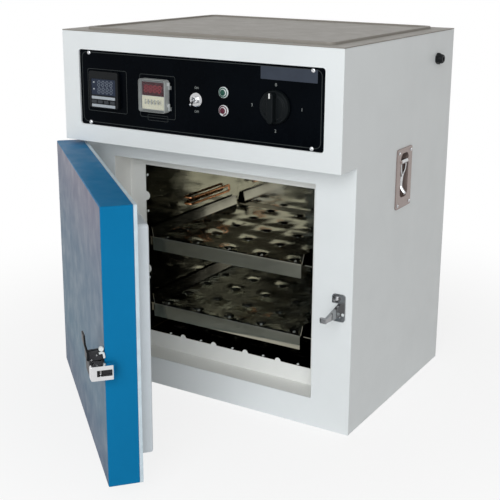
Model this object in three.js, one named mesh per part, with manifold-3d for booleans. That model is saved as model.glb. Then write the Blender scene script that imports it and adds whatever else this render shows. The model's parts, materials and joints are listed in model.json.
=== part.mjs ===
// Bench hot-air oven with a raised control head, a side-hinged door and two trays.
// Millimetres. X to the right, Y from the front to the back, Z up.
// The origin is the middle of the cabinet's underside.
import * as THREE from 'three';
import { mergeVertices } from 'three/addons/utils/BufferGeometryUtils.js';
import Module from 'manifold-3d';

const wasm = await Module();
wasm.setup();

// Shared by the whole oven
const seat = 0.3;
const overrun = 5;
const sheet = 1.5;
const linerSheet = 1.2;
const roundSteps = 16;
const smallSteps = 10;
const cornerSteps = 2;
const tubeSides = 6;

// Cabinet
const cabinetWidth = 560;
const cabinetHeight = 668;
const cabinetDepth = 410;
const headHeight = 197;
const headOverhang = 56;

// Top cover with its raised bead
const coverInset = 32;
const coverFrontInset = 25;
const coverBackInset = 29;
const coverBeadWidth = 9;
const coverBeadHeight = 4.5;
const coverPlateauHeight = 1.8;
const coverCornerRadius = 14;
const coverBevel = 1.6;

// Stepped door opening, measured in from the cabinet's edges, and the chamber behind it
const leftJamb = 65;
const rightJamb = 74;
const openingBottom = 53;
const headJamb = 35;
const recessDepth = 48;
const sideWall = 100;
const backWall = 38;
const sillStep = 31;
const headStep = 21;
const sillTabRadius = 6;
const sillTabPitch = 70;
const sillTabMargin = 20;
const sillTabShift = 7;
const jambTabRadius = 9;
const jambTabPitch = 145;
const jambTabRise = 33;

// Perforated chamber floor, heater and its pan
const ventLength = 34;
const ventWidth = 7;
const ventRows = 4;
const ventColumns = 4;
const heaterPanDepth = 30;
const heaterRadius = 4;
const heaterRuns = 6;
const heaterClear = 7;

// Insulation
const insulationSideGap = 15;

// Thermostat bulb, a copper hairpin on the left chamber wall
const bulbRadius = 2.4;
const bulbLength = 140;
const bulbSpacing = 13;
const bulbOverTray = 17;
const bulbFromBack = 49;
const bulbStandoff = 9;
const bulbSteps = 26;

// Trays and the runners that carry them
const traySideGap = 18;
const trayFrontGap = 8;
const trayBackGap = 16;
const traySheet = 1;
const trayFlangeRise = 20;
const trayFlangeFlare = 5;
const trayShift = 9;
const trayLip = 25;
const upperTrayShare = 0.568;
const lowerTrayShare = 0.16;
const dimplePitchX = 70;
const dimplePitchY = 68;
const dimpleMargin = 12;
const dimpleRadius = 10.5;
const dimpleHoleRadius = 5;
const dimpleDepth = 4;
const dimpleSides = 8;
const runnerLedge = 27;
const runnerHeight = 16;
const runnerSheet = 1.5;
const runnerFrontGap = 13;
const runnerBackGap = 6;

// Control panel, set back in a cut-out of the head's front
const panelLeftInset = 36;
const panelRightInset = 32;
const panelBottomInset = 31;
const panelTopInset = 33;
const panelSetback = 4;
const panelSheet = 2;
const panelOverlap = 7;
const panelCornerRadius = 5;
const panelHoleClear = 0.4;

// Temperature controller
const controllerShare = 0.115;
const controllerDrop = 2;
const controllerWidth = 64;
const controllerHeight = 65;
const controllerProud = 8;
const controllerBodyWidth = 56;
const controllerBodyDepth = 78;
const controllerCorner = 4;
const controllerBevel = 1.5;
const displayWidth = 54;
const displayHeight = 29;
const displayRecess = 1.2;
const displayRise = 5;
const keyCount = 4;
const keyWidth = 11;
const keyHeight = 6;
const keyPitch = 13.5;
const keyDrop = 21;
const keyProud = 1.2;
const keyLength = 4.2;
const keyStroke = 0.8;
const keyClear = 0.35;
const keyBevel = 0.5;

// Digital timer with its thumbwheels and clear cover
const timerShare = 0.3375;
const timerDrop = 2.5;
const timerWidth = 47;
const timerHeight = 48;
const timerProud = 9;
const timerFlangeProud = 2;
const timerBodyWidth = 45;
const timerBodyDepth = 70;
const timerWindowWidth = 41;
const timerWindowHeight = 20;
const timerWindowRise = 10.5;
const timerWindowRecess = 1;
const wheelCount = 5;
const wheelPitch = 6.8;
const wheelRadius = 8;
const wheelWidth = 4;
const wheelProud = 0.9;
const wheelDrop = 11;
const wheelClear = 0.5;
const wheelSides = 20;
const timerCoverWidth = 55.5;
const timerCoverHeight = 56;
const timerCoverProud = 14;
const timerCoverWall = 1.6;
const timerCoverCorner = 4;
const timerHingeRadius = 1.9;
const timerHingePinRadius = 0.8;
const timerHingeOut = 4.6;
const timerHingeOffset = 2.6;
const timerKnuckleLength = 6;
const timerKnuckleSpread = 18;

// Toggle switch
const toggleShare = 0.508;
const toggleDrop = 3;
const toggleNutRadius = 11.3;
const toggleNutHeight = 3.2;
const toggleBushRadius = 6;
const toggleBushProud = 9;
const toggleBoreRadius = 4.4;
const toggleBoreDepth = 7;
const toggleBodyWidth = 14;
const toggleBodyHeight = 28;
const toggleBodyDepth = 24;
const toggleLeverLength = 17;
const toggleLeverRootRadius = 1.5;
const toggleLeverTipRadius = 2.7;
const toggleBallRadius = 2.6;
const toggleSwing = 25;

// Pilot lamps
const lampShare = 0.6178;
const greenLampRise = 13.5;
const redLampDrop = 16.5;
const lampBezelRadius = 9.5;
const lampBezelHeight = 3;
const lampLensRadius = 6;
const lampLensHeight = 5.5;
const lampBodyRadius = 6;
const lampBodyDepth = 26;

// Rotary heat switch and its knob
const knobShare = 0.8181;
const knobDrop = 1.7;
const knobRadius = 27.5;
const knobSkirtHeight = 6;
const knobDomeRadius = 21;
const knobGripWidth = 12;
const knobGripLength = 50;
const knobGripHeight = 20;
const knobCrownShares = [[1, 1], [0.9, 1.4], [0, 1.5]];
const knobGap = 1.3;
const knobBoreRadius = 3.4;
const knobBoreDepth = 12;
const shaftRadius = 3;
const shaftProud = 11;
const heatSwitchRadius = 20;
const heatSwitchDepth = 32;
const heatSwitchBushRadius = 5;
const heatSwitchNutRadius = 7;
const heatSwitchNutProud = 0.7;

// Door. Its outline is that of the shut door, swung about the hinge pins.
const hingeOut = 10;
const hingeSetback = 9;
const doorRestAngle = 41.4;
const doorLeftInset = 3.5;
const doorRightInset = 48.5;
const doorThickness = 47;
const doorGap = 6;
const doorBottom = 29;
const doorHeadGap = 8;
const doorSheet = 1.2;
const doorBevel = 2;
const doorCorner = 2.5;
const gasketClear = 0.4;
const plugSideClear = 6;
const plugTopClear = 12;
const plugBottomClear = 5.5;
const plugProud = 22;
const plugCorner = 6;
const plugBevel = 3;

// Door hinges, on the left
const hingeInset = 62;
const hingeKnuckleRadius = 5.5;
const hingePinRadius = 2.6;
const hingePinClear = 0.35;
const hingeKnuckleLength = 26;
const hingeLeafThickness = 2.2;
const hingeLeafHeight = 60;
const hingeFixedLeafStart = 4;
const hingeFixedLeafLength = 36;
const hingeDoorLeafStart = 5;
const hingeDoorLeafLength = 31;
const hingePinCapHeight = 2;

// Spring latch on the door's free edge, a little below its middle
const latchDrop = 22;
const boltReach = 22;
const boltHeadLength = 10;
const boltOuter = 24;
const boltInner = 13;
const boltHeight = 22;
const boltWindowOuter = 14.5;
const boltWindowInner = 7.5;
const boltWindowHeight = 9.5;
const boltNoseBevel = 4;
const boltArmHeight = 5;
const boltArmOuter = 17;
const boltArmInner = 9;
const boltCheekLength = 11;
const boltCheekInner = 2;
const boltRollerRadius = 2.2;
const boltRollerOut = 6;
const boltRollerFromHead = 7;
const boltBridgeLength = 3.5;
const latchHousingLength = 38;
const latchHousingEdgeGap = 1;
const latchHousingRise = 30;
const latchHousingSlope = 4;
const latchHousingCorner = 3;
const latchHousingWall = 4;
const latchHousingProud = 22;
const latchHousingBevel = 2;
const latchRunClear = 0.5;
const leverPivotFromEdge = 10;
const leverPivotRise = 21;
const leverKneeRise = 3;
const leverHubRadius = 4.2;
const leverPinRadius = 3;
const leverPinClear = 0.3;
const leverFingerLength = 23;
const leverFingerWidth = 5;
const leverFingerThickness = 4.5;
const leverFingerGap = 3.3;
const leverBladeRise = 36;
const leverBladeDrop = 10;
const leverBladeWidth = 20;
const leverBladeThickness = 3.2;
const leverBladeCurl = 7.5;
const leverBendShare = 0.8;
const leverTipShare = 0.8;

// Latch strike on the cabinet's front, set off from the shut door's edge and face
const strikePlateGap = 12.5;
const strikePlateWidth = 24;
const strikePlateRise = 30;
const strikePlateDrop = 18;
const strikePlateThickness = 3;
const strikeWebInset = 12;
const strikeWebThickness = 5;
const strikeWebRise = 14;
const strikeWebDrop = 8;
const strikeNoseInset = 4;
const strikeNoseHeight = 7.5;
const strikeNoseOut = 5;
const strikeNoseIn = 2;
const strikeScrewBossRadius = 4;
const strikeScrewBossHeight = 1.6;
const strikeCorner = 5;

// Side carrying handles
const handleY = -13;
const handleDrop = 248;
const handlePlateWidth = 65;
const handlePlateHeight = 108;
const handlePlateThickness = 2;
const handlePlateCorner = 4;
const handleDishWidth = 36;
const handleDishHeight = 82;
const handleDishDepth = 13;
const handleDishCorner = 12;
const handleDishWall = 1;
const handleDishRise = 5;
const handlePinRadius = 2;
const handlePinSunk = 2.8;
const handlePinRise = 29.5;
const handleEarGap = 26;
const handleEarWidth = 4.4;
const handleEarRadius = 4.5;
const handleBarRadius = 3.2;
const handleBarLength = 57;
const handleForkLength = 26;
const handleForkSpread = 9.5;
const handleForkRadius = 2.1;
const handleTipRadius = 3.3;
const handleFlick = 4;
const handleSag = 3;
const handleBarrelRadius = 4.4;
const handlePinClear = 0.35;

// Cable gland on the right-hand side
const glandFromBack = 82;
const glandDrop = 50;
const glandNutRadius = 10.5;
const glandNutHeight = 6;
const glandDomeRadius = 9;
const glandDomeHeight = 13;
const glandDomeShares = [[0.95, 0.8], [0.75, 1]];
const glandBoreRadius = 4;
const glandThreadRadius = 7.5;
const glandThreadLength = 9;

// Places worked out from the sizes above
const side = cabinetWidth / 2;
const frontY = -cabinetDepth / 2;
const backY = cabinetDepth / 2;
const headFrontY = frontY - headOverhang;
const headBottom = cabinetHeight - headHeight;
const coverUnder = cabinetHeight - sheet;
const wallTop = coverUnder - seat;
const insideX = side - sheet - seat;
const insideBackY = backY - sheet - seat;
const openingLeft = side - leftJamb;
const openingRight = side - rightJamb;
const openingTop = headBottom - headJamb;
const flangeY = frontY + recessDepth;
const chamberSide = side - sideWall;
const chamberWidth = chamberSide * 2;
const chamberBottom = openingBottom + sillStep;
const chamberTop = openingTop - headStep;
const chamberHeight = chamberTop - chamberBottom;
const chamberFrontY = flangeY + seat;
const chamberBackY = backY - backWall;
const chamberDepth = chamberBackY - flangeY;
const trayWidth = chamberWidth - traySideGap * 2;
const trayDepth = chamberDepth - trayFrontGap - trayBackGap;
const trayFrontY = flangeY + trayFrontGap;
const upperTrayTop = chamberBottom + chamberHeight * upperTrayShare;
const lowerTrayTop = chamberBottom + chamberHeight * lowerTrayShare;

// The panel and the places of what is fitted in it, along its width and from its middle
const panelY = headFrontY + panelSetback;
const panelBackY = panelY + panelSheet;
const panelLeft = side - panelLeftInset;
const panelRight = side - panelRightInset;
const panelWidth = panelLeft + panelRight;
const panelBottom = headBottom + panelBottomInset;
const panelTop = cabinetHeight - panelTopInset;
const panelMiddleZ = (panelBottom + panelTop) / 2;
const controllerX = panelWidth * controllerShare - panelLeft;
const controllerZ = panelMiddleZ - controllerDrop;
const timerX = panelWidth * timerShare - panelLeft;
const timerZ = panelMiddleZ - timerDrop;
const toggleX = panelWidth * toggleShare - panelLeft;
const toggleZ = panelMiddleZ - toggleDrop;
const lampX = panelWidth * lampShare - panelLeft;
const greenLampZ = panelMiddleZ + greenLampRise;
const redLampZ = panelMiddleZ - redLampDrop;
const knobX = panelWidth * knobShare - panelLeft;
const knobZ = panelMiddleZ - knobDrop;

// The shut door, its plug, hinge line and latch
const hingeX = -side - hingeOut;
const hingeY = frontY - hingeSetback;
const doorLeft = side - doorLeftInset;
const doorRight = side - doorRightInset;
const doorTop = headBottom - doorHeadGap;
const doorBackY = frontY - doorGap;
const doorFaceY = doorBackY - doorThickness;
const plugFaceY = frontY + plugProud;
const plugLeft = openingLeft - plugSideClear;
const plugRight = openingRight - plugSideClear;
const plugBottom = openingBottom + plugBottomClear;
const plugTop = openingTop - plugTopClear;
const latchZ = (doorBottom + doorTop) / 2 - latchDrop;
const boltBottom = latchZ - boltHeight / 2;
const boltTop = latchZ + boltHeight / 2;
const latchHousingTop = latchZ + latchHousingRise;
const leverPivotZ = latchZ + leverPivotRise;
const handleZ = cabinetHeight - handleDrop;
const glandZ = cabinetHeight - glandDrop;

// Turns a geometry into a solid that can be joined and cut.
function solidOf(geometry) {
  const bare = geometry.index ? geometry.toNonIndexed() : geometry.clone();
  bare.deleteAttribute('normal');
  bare.deleteAttribute('uv');
  const merged = mergeVertices(bare, seat / 1000);
  return new wasm.Manifold(new wasm.Mesh({
    numProp: 3,
    vertProperties: new Float32Array(merged.attributes.position.array),
    triVerts: new Uint32Array(merged.index.array),
  }));
}

// Gives a joined or cut solid back as a geometry.
function geometryOf(solid) {
  const mesh = solid.getMesh();
  const geometry = new THREE.BufferGeometry();
  geometry.setAttribute('position', new THREE.BufferAttribute(mesh.vertProperties, 3));
  geometry.setIndex(new THREE.BufferAttribute(mesh.triVerts, 1));
  const flat = geometry.toNonIndexed();
  flat.computeVertexNormals();
  return flat;
}

function fuse(first, ...others) {
  return geometryOf(others.reduce((whole, g) => whole.add(solidOf(g)), solidOf(first)));
}

function cut(first, ...others) {
  return geometryOf(others.reduce((whole, g) => whole.subtract(solidOf(g)), solidOf(first)));
}

// A block between two corners.
function block(x0, x1, y0, y1, z0, z1) {
  const box = new THREE.BoxGeometry(x1 - x0, y1 - y0, z1 - z0);
  return box.translate((x0 + x1) / 2, (y0 + y1) / 2, (z0 + z1) / 2);
}

function outline(points) {
  return new THREE.Shape(points.map(([a, b]) => new THREE.Vector2(a, b)));
}

function rectangle(x0, x1, y0, y1) {
  return outline([[x0, y0], [x1, y0], [x1, y1], [x0, y1]]);
}

// A rectangle whose corners are rounded.
function roundedRectangle(x0, x1, y0, y1, radius) {
  const shape = new THREE.Shape();
  shape.moveTo(x0 + radius, y0);
  shape.lineTo(x1 - radius, y0);
  shape.absarc(x1 - radius, y0 + radius, radius, -Math.PI / 2, 0);
  shape.lineTo(x1, y1 - radius);
  shape.absarc(x1 - radius, y1 - radius, radius, 0, Math.PI / 2);
  shape.lineTo(x0 + radius, y1);
  shape.absarc(x0 + radius, y1 - radius, radius, Math.PI / 2, Math.PI);
  shape.lineTo(x0, y0 + radius);
  shape.absarc(x0 + radius, y0 + radius, radius, Math.PI, Math.PI * 1.5);
  return shape;
}

function extrude(shape, depth, bevel = 0, steps = cornerSteps) {
  return new THREE.ExtrudeGeometry(shape, {
    depth: depth - 2 * bevel,
    bevelEnabled: bevel > 0,
    bevelThickness: bevel,
    bevelSize: bevel,
    bevelOffset: -bevel,
    bevelSegments: Math.min(steps, cornerSteps),
    curveSegments: steps,
  }).translate(0, 0, bevel);
}

// An outline in X and Z, given depth along Y from y0 to y1.
function facing(shape, y0, y1, bevel = 0, steps = cornerSteps) {
  return extrude(shape, y1 - y0, bevel, steps).rotateX(Math.PI / 2).translate(0, y1, 0);
}

// An outline in Y and Z, given depth along X from x0 to x1.
function sideways(shape, x0, x1, bevel = 0, steps = cornerSteps) {
  const turned = extrude(shape, x1 - x0, bevel, steps);
  return turned.rotateY(Math.PI / 2).rotateX(Math.PI / 2).translate(x0, 0, 0);
}

// An outline in X and Y, given height from z0 to z1.
function standing(shape, z0, z1, bevel = 0, steps = cornerSteps) {
  return extrude(shape, z1 - z0, bevel, steps).translate(0, 0, z0);
}

// A round bar between two points.
function rod(from, to, radius, steps = roundSteps, endRadius = radius) {
  const a = new THREE.Vector3(...from);
  const b = new THREE.Vector3(...to);
  const along = b.clone().sub(a);
  const bar = new THREE.CylinderGeometry(endRadius, radius, along.length(), steps);
  const turn = new THREE.Quaternion().setFromUnitVectors(
    new THREE.Vector3(0, 1, 0), along.clone().normalize());
  return bar.applyQuaternion(turn).translate(...a.add(b).divideScalar(2).toArray());
}

// A part turned about a line out of the panel: its points are [radius, distance out].
function turned(points, x, y, z, steps = roundSteps) {
  const profile = points.map(([r, out]) => new THREE.Vector2(r, out));
  return new THREE.LatheGeometry(profile, steps).rotateX(Math.PI).translate(x, y, z);
}

// A round section swept along a smooth path.
function swept(points, radius, steps, sides = tubeSides) {
  const path = new THREE.CatmullRomCurve3(points.map((p) => new THREE.Vector3(...p)));
  const section = new THREE.Shape().absarc(0, 0, radius, 0, Math.PI * 2);
  return new THREE.ExtrudeGeometry(section, {
    steps,
    extrudePath: path,
    curveSegments: sides / 2,
    bevelEnabled: false,
  });
}

const looks = {
  whitePaint: { color: 0xdfe5e6, roughness: 0.45, metalness: 0 },
  bluePaint: { color: 0x1277ae, roughness: 0.35, metalness: 0 },
  blackPanel: { color: 0x0a0d11, roughness: 0.25, metalness: 0 },
  steel: { color: 0x9a9a98, roughness: 0.2, metalness: 1 },
  satinSteel: { color: 0xb9b5b1, roughness: 0.4, metalness: 1 },
  zinc: { color: 0xa7a9ab, roughness: 0.5, metalness: 1 },
  chrome: { color: 0xd9dbdd, roughness: 0.1, metalness: 1 },
  cast: { color: 0x3b3c3e, roughness: 0.5, metalness: 0.6 },
  copper: { color: 0xb06a44, roughness: 0.3, metalness: 1 },
  wool: { color: 0xc9bd8e, roughness: 1, metalness: 0 },
  silicone: { color: 0xdcdcdc, roughness: 0.7, metalness: 0 },
  blackPlastic: { color: 0x16181a, roughness: 0.4, metalness: 0 },
  creamPlastic: { color: 0xd8d5bd, roughness: 0.5, metalness: 0 },
  greyPlastic: { color: 0x8e949a, roughness: 0.5, metalness: 0 },
  clearPlastic: { color: 0xc8d0d4, roughness: 0.1, metalness: 0 },
  greenLens: { color: 0x2fae8a, roughness: 0.2, metalness: 0 },
  redLens: { color: 0xc8322e, roughness: 0.2, metalness: 0 },
};

function piece(name, look, geometry) {
  const mesh = new THREE.Mesh(geometry, new THREE.MeshStandardMaterial(looks[look]));
  mesh.name = name;
  return mesh;
}

const rad = THREE.MathUtils.degToRad;

// As many places as fit in a length at a pitch, counted from the middle.
function spread(length, pitch) {
  const count = Math.floor(length / pitch);
  return Array.from({ length: count }, (_, i) => (i - (count - 1) / 2) * pitch);
}

const oven = new THREE.Group();

// Cabinet sheets

// Half the cabinet's folded side, with the head's overhang at the top front.
function sidePanel(direction) {
  const bodyFront = frontY + sheet + seat;
  const headFront = headFrontY + sheet + seat;
  const shape = outline([
    [bodyFront, 0], [insideBackY, 0], [insideBackY, wallTop], [headFront, wallTop],
    [headFront, headBottom], [bodyFront, headBottom],
  ]);
  const plate = sideways(shape, side - sheet, side);
  const dishY = handleY;
  const dishZ = handleZ + handleDishRise;
  const hole = sideways(roundedRectangle(
    dishY - handleDishWidth / 2 - seat, dishY + handleDishWidth / 2 + seat,
    dishZ - handleDishHeight / 2 - seat, dishZ + handleDishHeight / 2 + seat,
    handleDishCorner), side - sheet - overrun, side + overrun);
  const cuts = [hole];
  if (direction > 0) {
    const glandY = backY - glandFromBack;
    cuts.push(rod([side - sheet - overrun, glandY, glandZ], [side + overrun, glandY, glandZ],
      glandThreadRadius + seat));
  }
  const done = cut(plate, ...cuts);
  return direction > 0 ? done : mirrored(done);
}

// The same solid on the other side of the cabinet.
function mirrored(geometry) {
  const flipped = geometry.clone().scale(-1, 1, 1);
  const places = flipped.attributes.position;
  for (let i = 0; i < places.count; i += 3) {
    const [x, y, z] = [places.getX(i), places.getY(i), places.getZ(i)];
    places.setXYZ(i, places.getX(i + 1), places.getY(i + 1), places.getZ(i + 1));
    places.setXYZ(i + 1, x, y, z);
  }
  flipped.computeVertexNormals();
  return flipped;
}

function topCover() {
  const plate = block(-side, side, headFrontY, backY, coverUnder, cabinetHeight);
  const x = side - coverInset;
  const y0 = headFrontY + coverFrontInset;
  const y1 = backY - coverBackInset;
  const outer = roundedRectangle(-x, x, y0, y1, coverCornerRadius);
  const bead = standing(outer, coverUnder, cabinetHeight + coverBeadHeight, coverBevel);
  const inner = roundedRectangle(-x + coverBeadWidth, x - coverBeadWidth,
    y0 + coverBeadWidth, y1 - coverBeadWidth, coverCornerRadius - coverBeadWidth / 2);
  const well = standing(inner, cabinetHeight + coverPlateauHeight,
    cabinetHeight + coverBeadHeight + overrun);
  return fuse(plate, cut(bead, well));
}

function frontFrame() {
  const shape = outline([
    [-side, 0], [side, 0], [side, headBottom - seat], [-side, headBottom - seat],
  ]);
  shape.holes.push(outline([
    [-openingLeft, openingBottom], [openingRight, openingBottom],
    [openingRight, openingTop], [-openingLeft, openingTop],
  ]));
  return facing(shape, frontY, frontY + sheet);
}

// The stepped jamb behind the front frame, with tabs on its sill and left side.
function doorRecess() {
  const start = frontY + sheet + seat;
  const outer = block(-openingLeft - sheet, openingRight + sheet, start, flangeY,
    openingBottom - sheet, openingTop + sheet);
  const pocket = block(-openingLeft, openingRight, start - overrun, flangeY - sheet,
    openingBottom, openingTop);
  const mouth = block(-chamberSide, chamberSide, start, flangeY + overrun,
    chamberBottom, chamberTop);
  const tabAt = (x, z, radius) => rod([x, flangeY - sheet, z], [x, flangeY, z], radius,
    smallSteps);
  const jambTabZ = (chamberBottom + chamberTop) / 2 + jambTabRise;
  const tabs = [
    ...spread(chamberWidth - sillTabMargin * 2, sillTabPitch).map(
      (x) => tabAt(x + sillTabShift, chamberBottom, sillTabRadius)),
    ...spread(jambTabPitch * 2, jambTabPitch).map(
      (z) => tabAt(-chamberSide, jambTabZ + z, jambTabRadius)),
  ];
  return fuse(cut(outer, pocket, mouth), ...tabs);
}

function headFascia() {
  const plate = block(-side, side, headFrontY, headFrontY + sheet, headBottom, wallTop);
  const lip = block(-panelLeft - sheet, panelRight + sheet, headFrontY, panelY - seat,
    panelBottom - sheet, panelTop + sheet);
  const window = facing(roundedRectangle(-panelLeft, panelRight, panelBottom, panelTop,
    panelCornerRadius), headFrontY - overrun, headFrontY + overrun + panelSetback);
  return cut(fuse(plate, lip), window);
}

oven.add(
  piece('right_side_panel', 'whitePaint', sidePanel(1)),
  piece('left_side_panel', 'whitePaint', sidePanel(-1)),
  piece('back_panel', 'whitePaint', block(-side, side, backY - sheet, backY, 0, wallTop)),
  piece('base_pan', 'zinc', block(-insideX, insideX, frontY + sheet + seat, insideBackY, 0, sheet)),
  piece('top_cover', 'whitePaint', topCover()),
  piece('front_frame', 'whitePaint', frontFrame()),
  piece('door_recess', 'whitePaint', doorRecess()),
  piece('head_fascia', 'whitePaint', headFascia()),
  piece('head_floor', 'whitePaint', block(-insideX, insideX, headFrontY + sheet + seat,
    insideBackY, headBottom, headBottom + sheet)),
);

// Chamber of polished sheet, heater and insulation

function chamberFloor() {
  const shape = outline([
    [-chamberSide, chamberFrontY], [chamberSide, chamberFrontY],
    [chamberSide, chamberBackY], [-chamberSide, chamberBackY],
  ]);
  const pitchX = chamberWidth / ventColumns;
  const pitchY = chamberDepth / ventRows;
  for (let i = 0; i < ventColumns; i += 1) {
    for (let j = 0; j < ventRows; j += 1) {
      const x = -chamberSide + pitchX * (i + 0.5);
      const y = chamberFrontY + pitchY * (j + 0.5);
      shape.holes.push(roundedRectangle(x - ventLength / 2, x + ventLength / 2,
        y - ventWidth / 2, y + ventWidth / 2, ventWidth / 2));
    }
  }
  return standing(shape, chamberBottom - linerSheet, chamberBottom, 0, 1);
}

const floorUnder = chamberBottom - linerSheet;
const panTop = floorUnder - seat;
const panBottom = panTop - heaterPanDepth;

function heaterPan() {
  const outer = block(-chamberSide, chamberSide, chamberFrontY, chamberBackY, panBottom, panTop);
  const inside = block(-chamberSide + linerSheet, chamberSide - linerSheet,
    chamberFrontY + linerSheet, chamberBackY - linerSheet, panBottom + linerSheet,
    panTop + overrun);
  const z = panBottom + linerSheet + heaterClear + heaterRadius;
  const holes = [-1, 1].map((k) => rod(
    [k * heaterEndX, chamberBackY - overrun, z], [k * heaterEndX, chamberBackY + overrun, z],
    heaterRadius + seat, smallSteps));
  return cut(outer, inside, ...holes);
}

// A sheathed element bent to and fro under the floor, its ends out through the pan's back.
const heaterPitch = chamberWidth / (heaterRuns + 1);
const heaterEndX = heaterPitch * (heaterRuns - 1) / 2;

function heaterElement() {
  const z = panBottom + linerSheet + heaterClear + heaterRadius;
  const bend = heaterPitch / 2;
  const near = chamberFrontY + linerSheet + heaterPitch;
  const far = chamberBackY - linerSheet - heaterPitch;
  const path = new THREE.CurvePath();
  const point = (x, y) => new THREE.Vector3(x, y, z);
  const corners = [];
  for (let i = 0; i < heaterRuns; i += 1) {
    const x = -heaterEndX + i * heaterPitch;
    const down = i % 2 === 0;
    const start = i === 0 ? chamberBackY + linerSheet + heaterClear : (down ? far : near);
    const end = i === heaterRuns - 1 ? chamberBackY + linerSheet + heaterClear : (down ? near : far);
    corners.push([x, start], [x, end]);
  }
  for (let i = 0; i < corners.length - 1; i += 1) {
    const [a, b] = [corners[i], corners[i + 1]];
    if (i % 2 === 0) {
      path.add(new THREE.LineCurve3(point(...a), point(...b)));
    } else {
      const outward = a[1] === near ? -bend : bend;
      const mid = point((a[0] + b[0]) / 2, a[1] + outward);
      path.add(new THREE.QuadraticBezierCurve3(point(...a), point(a[0], a[1] + outward), mid));
      path.add(new THREE.QuadraticBezierCurve3(mid, point(b[0], b[1] + outward), point(...b)));
    }
  }
  const section = new THREE.Shape().absarc(0, 0, heaterRadius, 0, Math.PI * 2);
  return new THREE.ExtrudeGeometry(section, {
    steps: heaterRuns * tubeSides, extrudePath: path, curveSegments: tubeSides / 2,
    bevelEnabled: false,
  });
}

// The hairpin hangs on the left wall by its two bent ends.
function thermostatBulb() {
  const wallX = -chamberSide + seat;
  const x = -chamberSide + bulbStandoff;
  const stub = wallX + bulbStandoff / 3;
  const low = upperTrayTop + trayFlangeRise + bulbOverTray;
  const high = low + bulbSpacing;
  const back = chamberBackY - bulbFromBack;
  const front = back - bulbLength;
  const bow = bulbSpacing / 2;
  return swept([
    [wallX, front, high], [stub, front, high], [x, front + bow, high],
    [x, (front + back) / 2, high], [x, back - bow, high], [x, back, (high + low) / 2],
    [x, back - bow, low], [x, (front + back) / 2, low],
    [x, front + bow, low], [stub, front, low], [wallX, front, low],
  ], bulbRadius, bulbSteps);
}

function insulation() {
  const x = side - insulationSideGap;
  const bottom = sheet + seat;
  const top = headBottom - seat;
  const outer = block(-x, x, flangeY + seat, insideBackY - seat, bottom, top);
  const clearX = chamberSide + linerSheet + seat;
  const clearBack = chamberBackY + linerSheet + seat;
  const hollow = block(-clearX, clearX, flangeY - overrun, clearBack,
    panBottom - seat, chamberTop + linerSheet + seat);
  const terminals = block(-heaterEndX - overrun * 2, heaterEndX + overrun * 2,
    clearBack - overrun, clearBack + heaterClear * 2, panBottom - seat, panTop);
  return cut(outer, hollow, terminals);
}

const wallZ = [chamberBottom + seat, chamberTop - seat];
const wallY = [chamberFrontY, chamberBackY - seat];
const chamberOut = chamberSide + linerSheet;
oven.add(
  piece('chamber_left_wall', 'steel', block(-chamberOut, -chamberSide, ...wallY, ...wallZ)),
  piece('chamber_right_wall', 'steel', block(chamberSide, chamberOut, ...wallY, ...wallZ)),
  piece('chamber_back_wall', 'steel', block(-chamberOut, chamberOut, chamberBackY,
    chamberBackY + linerSheet, ...wallZ)),
  piece('chamber_roof', 'steel', block(-chamberOut, chamberOut, chamberFrontY, chamberBackY,
    chamberTop, chamberTop + linerSheet)),
  piece('chamber_floor', 'steel', chamberFloor()),
  piece('heater_pan', 'zinc', heaterPan()),
  piece('heater_element', 'cast', heaterElement()),
  piece('thermostat_bulb', 'copper', thermostatBulb()),
  piece('insulation', 'wool', insulation()),
);

// Trays and runners

// A folded pan: lip turned down in front, sides turned up and out, pressed ring holes.
function tray(top) {
  const half = trayWidth / 2;
  const backEdge = trayFrontY + trayDepth;
  const section = outline([
    [-half - trayFlangeFlare, trayFlangeRise], [-half, -traySheet], [half, -traySheet],
    [half + trayFlangeFlare, trayFlangeRise], [half + trayFlangeFlare - traySheet, trayFlangeRise],
    [half - traySheet, 0], [-half + traySheet, 0], [-half - trayFlangeFlare + traySheet,
      trayFlangeRise],
  ]);
  const pan = facing(section, trayFrontY, backEdge).translate(0, 0, top);
  const lip = block(-half, half, trayFrontY, trayFrontY + traySheet, top - trayLip, top);
  const cups = [];
  const holes = [];
  const middleY = (trayFrontY + backEdge) / 2;
  for (const x of spread(trayWidth - dimpleMargin * 2 + dimplePitchX, dimplePitchX)) {
    for (const y of spread(trayDepth - dimpleMargin * 2 + dimplePitchY, dimplePitchY)) {
      const place = [x, middleY + y, top];
      cups.push(dimple([
        [0, 0], [dimpleRadius, -traySheet], [dimpleHoleRadius, -dimpleDepth - traySheet],
        [0, -dimpleDepth - traySheet],
      ], place));
      holes.push(dimple([
        [0, overrun], [dimpleRadius, overrun], [dimpleRadius, 0], [dimpleHoleRadius, -dimpleDepth],
        [dimpleHoleRadius, -dimpleDepth - overrun], [0, -dimpleDepth - overrun],
      ], place));
    }
  }
  return cut(fuse(pan, lip, ...cups), ...holes).translate(-trayShift, 0, 0);
}

// A turned solid about a vertical axis, given from its top down.
function dimple(points, place) {
  const profile = points.map(([r, z]) => new THREE.Vector2(r, z)).reverse();
  return new THREE.LatheGeometry(profile, dimpleSides).rotateX(Math.PI / 2).translate(...place);
}

// An angle strip on the chamber wall. The trays sit to the left, so the right ledge is longer.
function runner(direction, top) {
  const under = top - traySheet - seat;
  const wall = chamberSide - seat;
  const tip = wall - runnerLedge - direction * trayShift;
  const section = outline([
    [wall, under - runnerHeight], [wall, under], [tip, under],
    [tip, under - runnerSheet], [wall - runnerSheet, under - runnerSheet],
    [wall - runnerSheet, under - runnerHeight],
  ]);
  const strip = facing(section, chamberFrontY + runnerFrontGap, chamberBackY - runnerBackGap);
  return direction > 0 ? strip : mirrored(strip);
}

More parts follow.
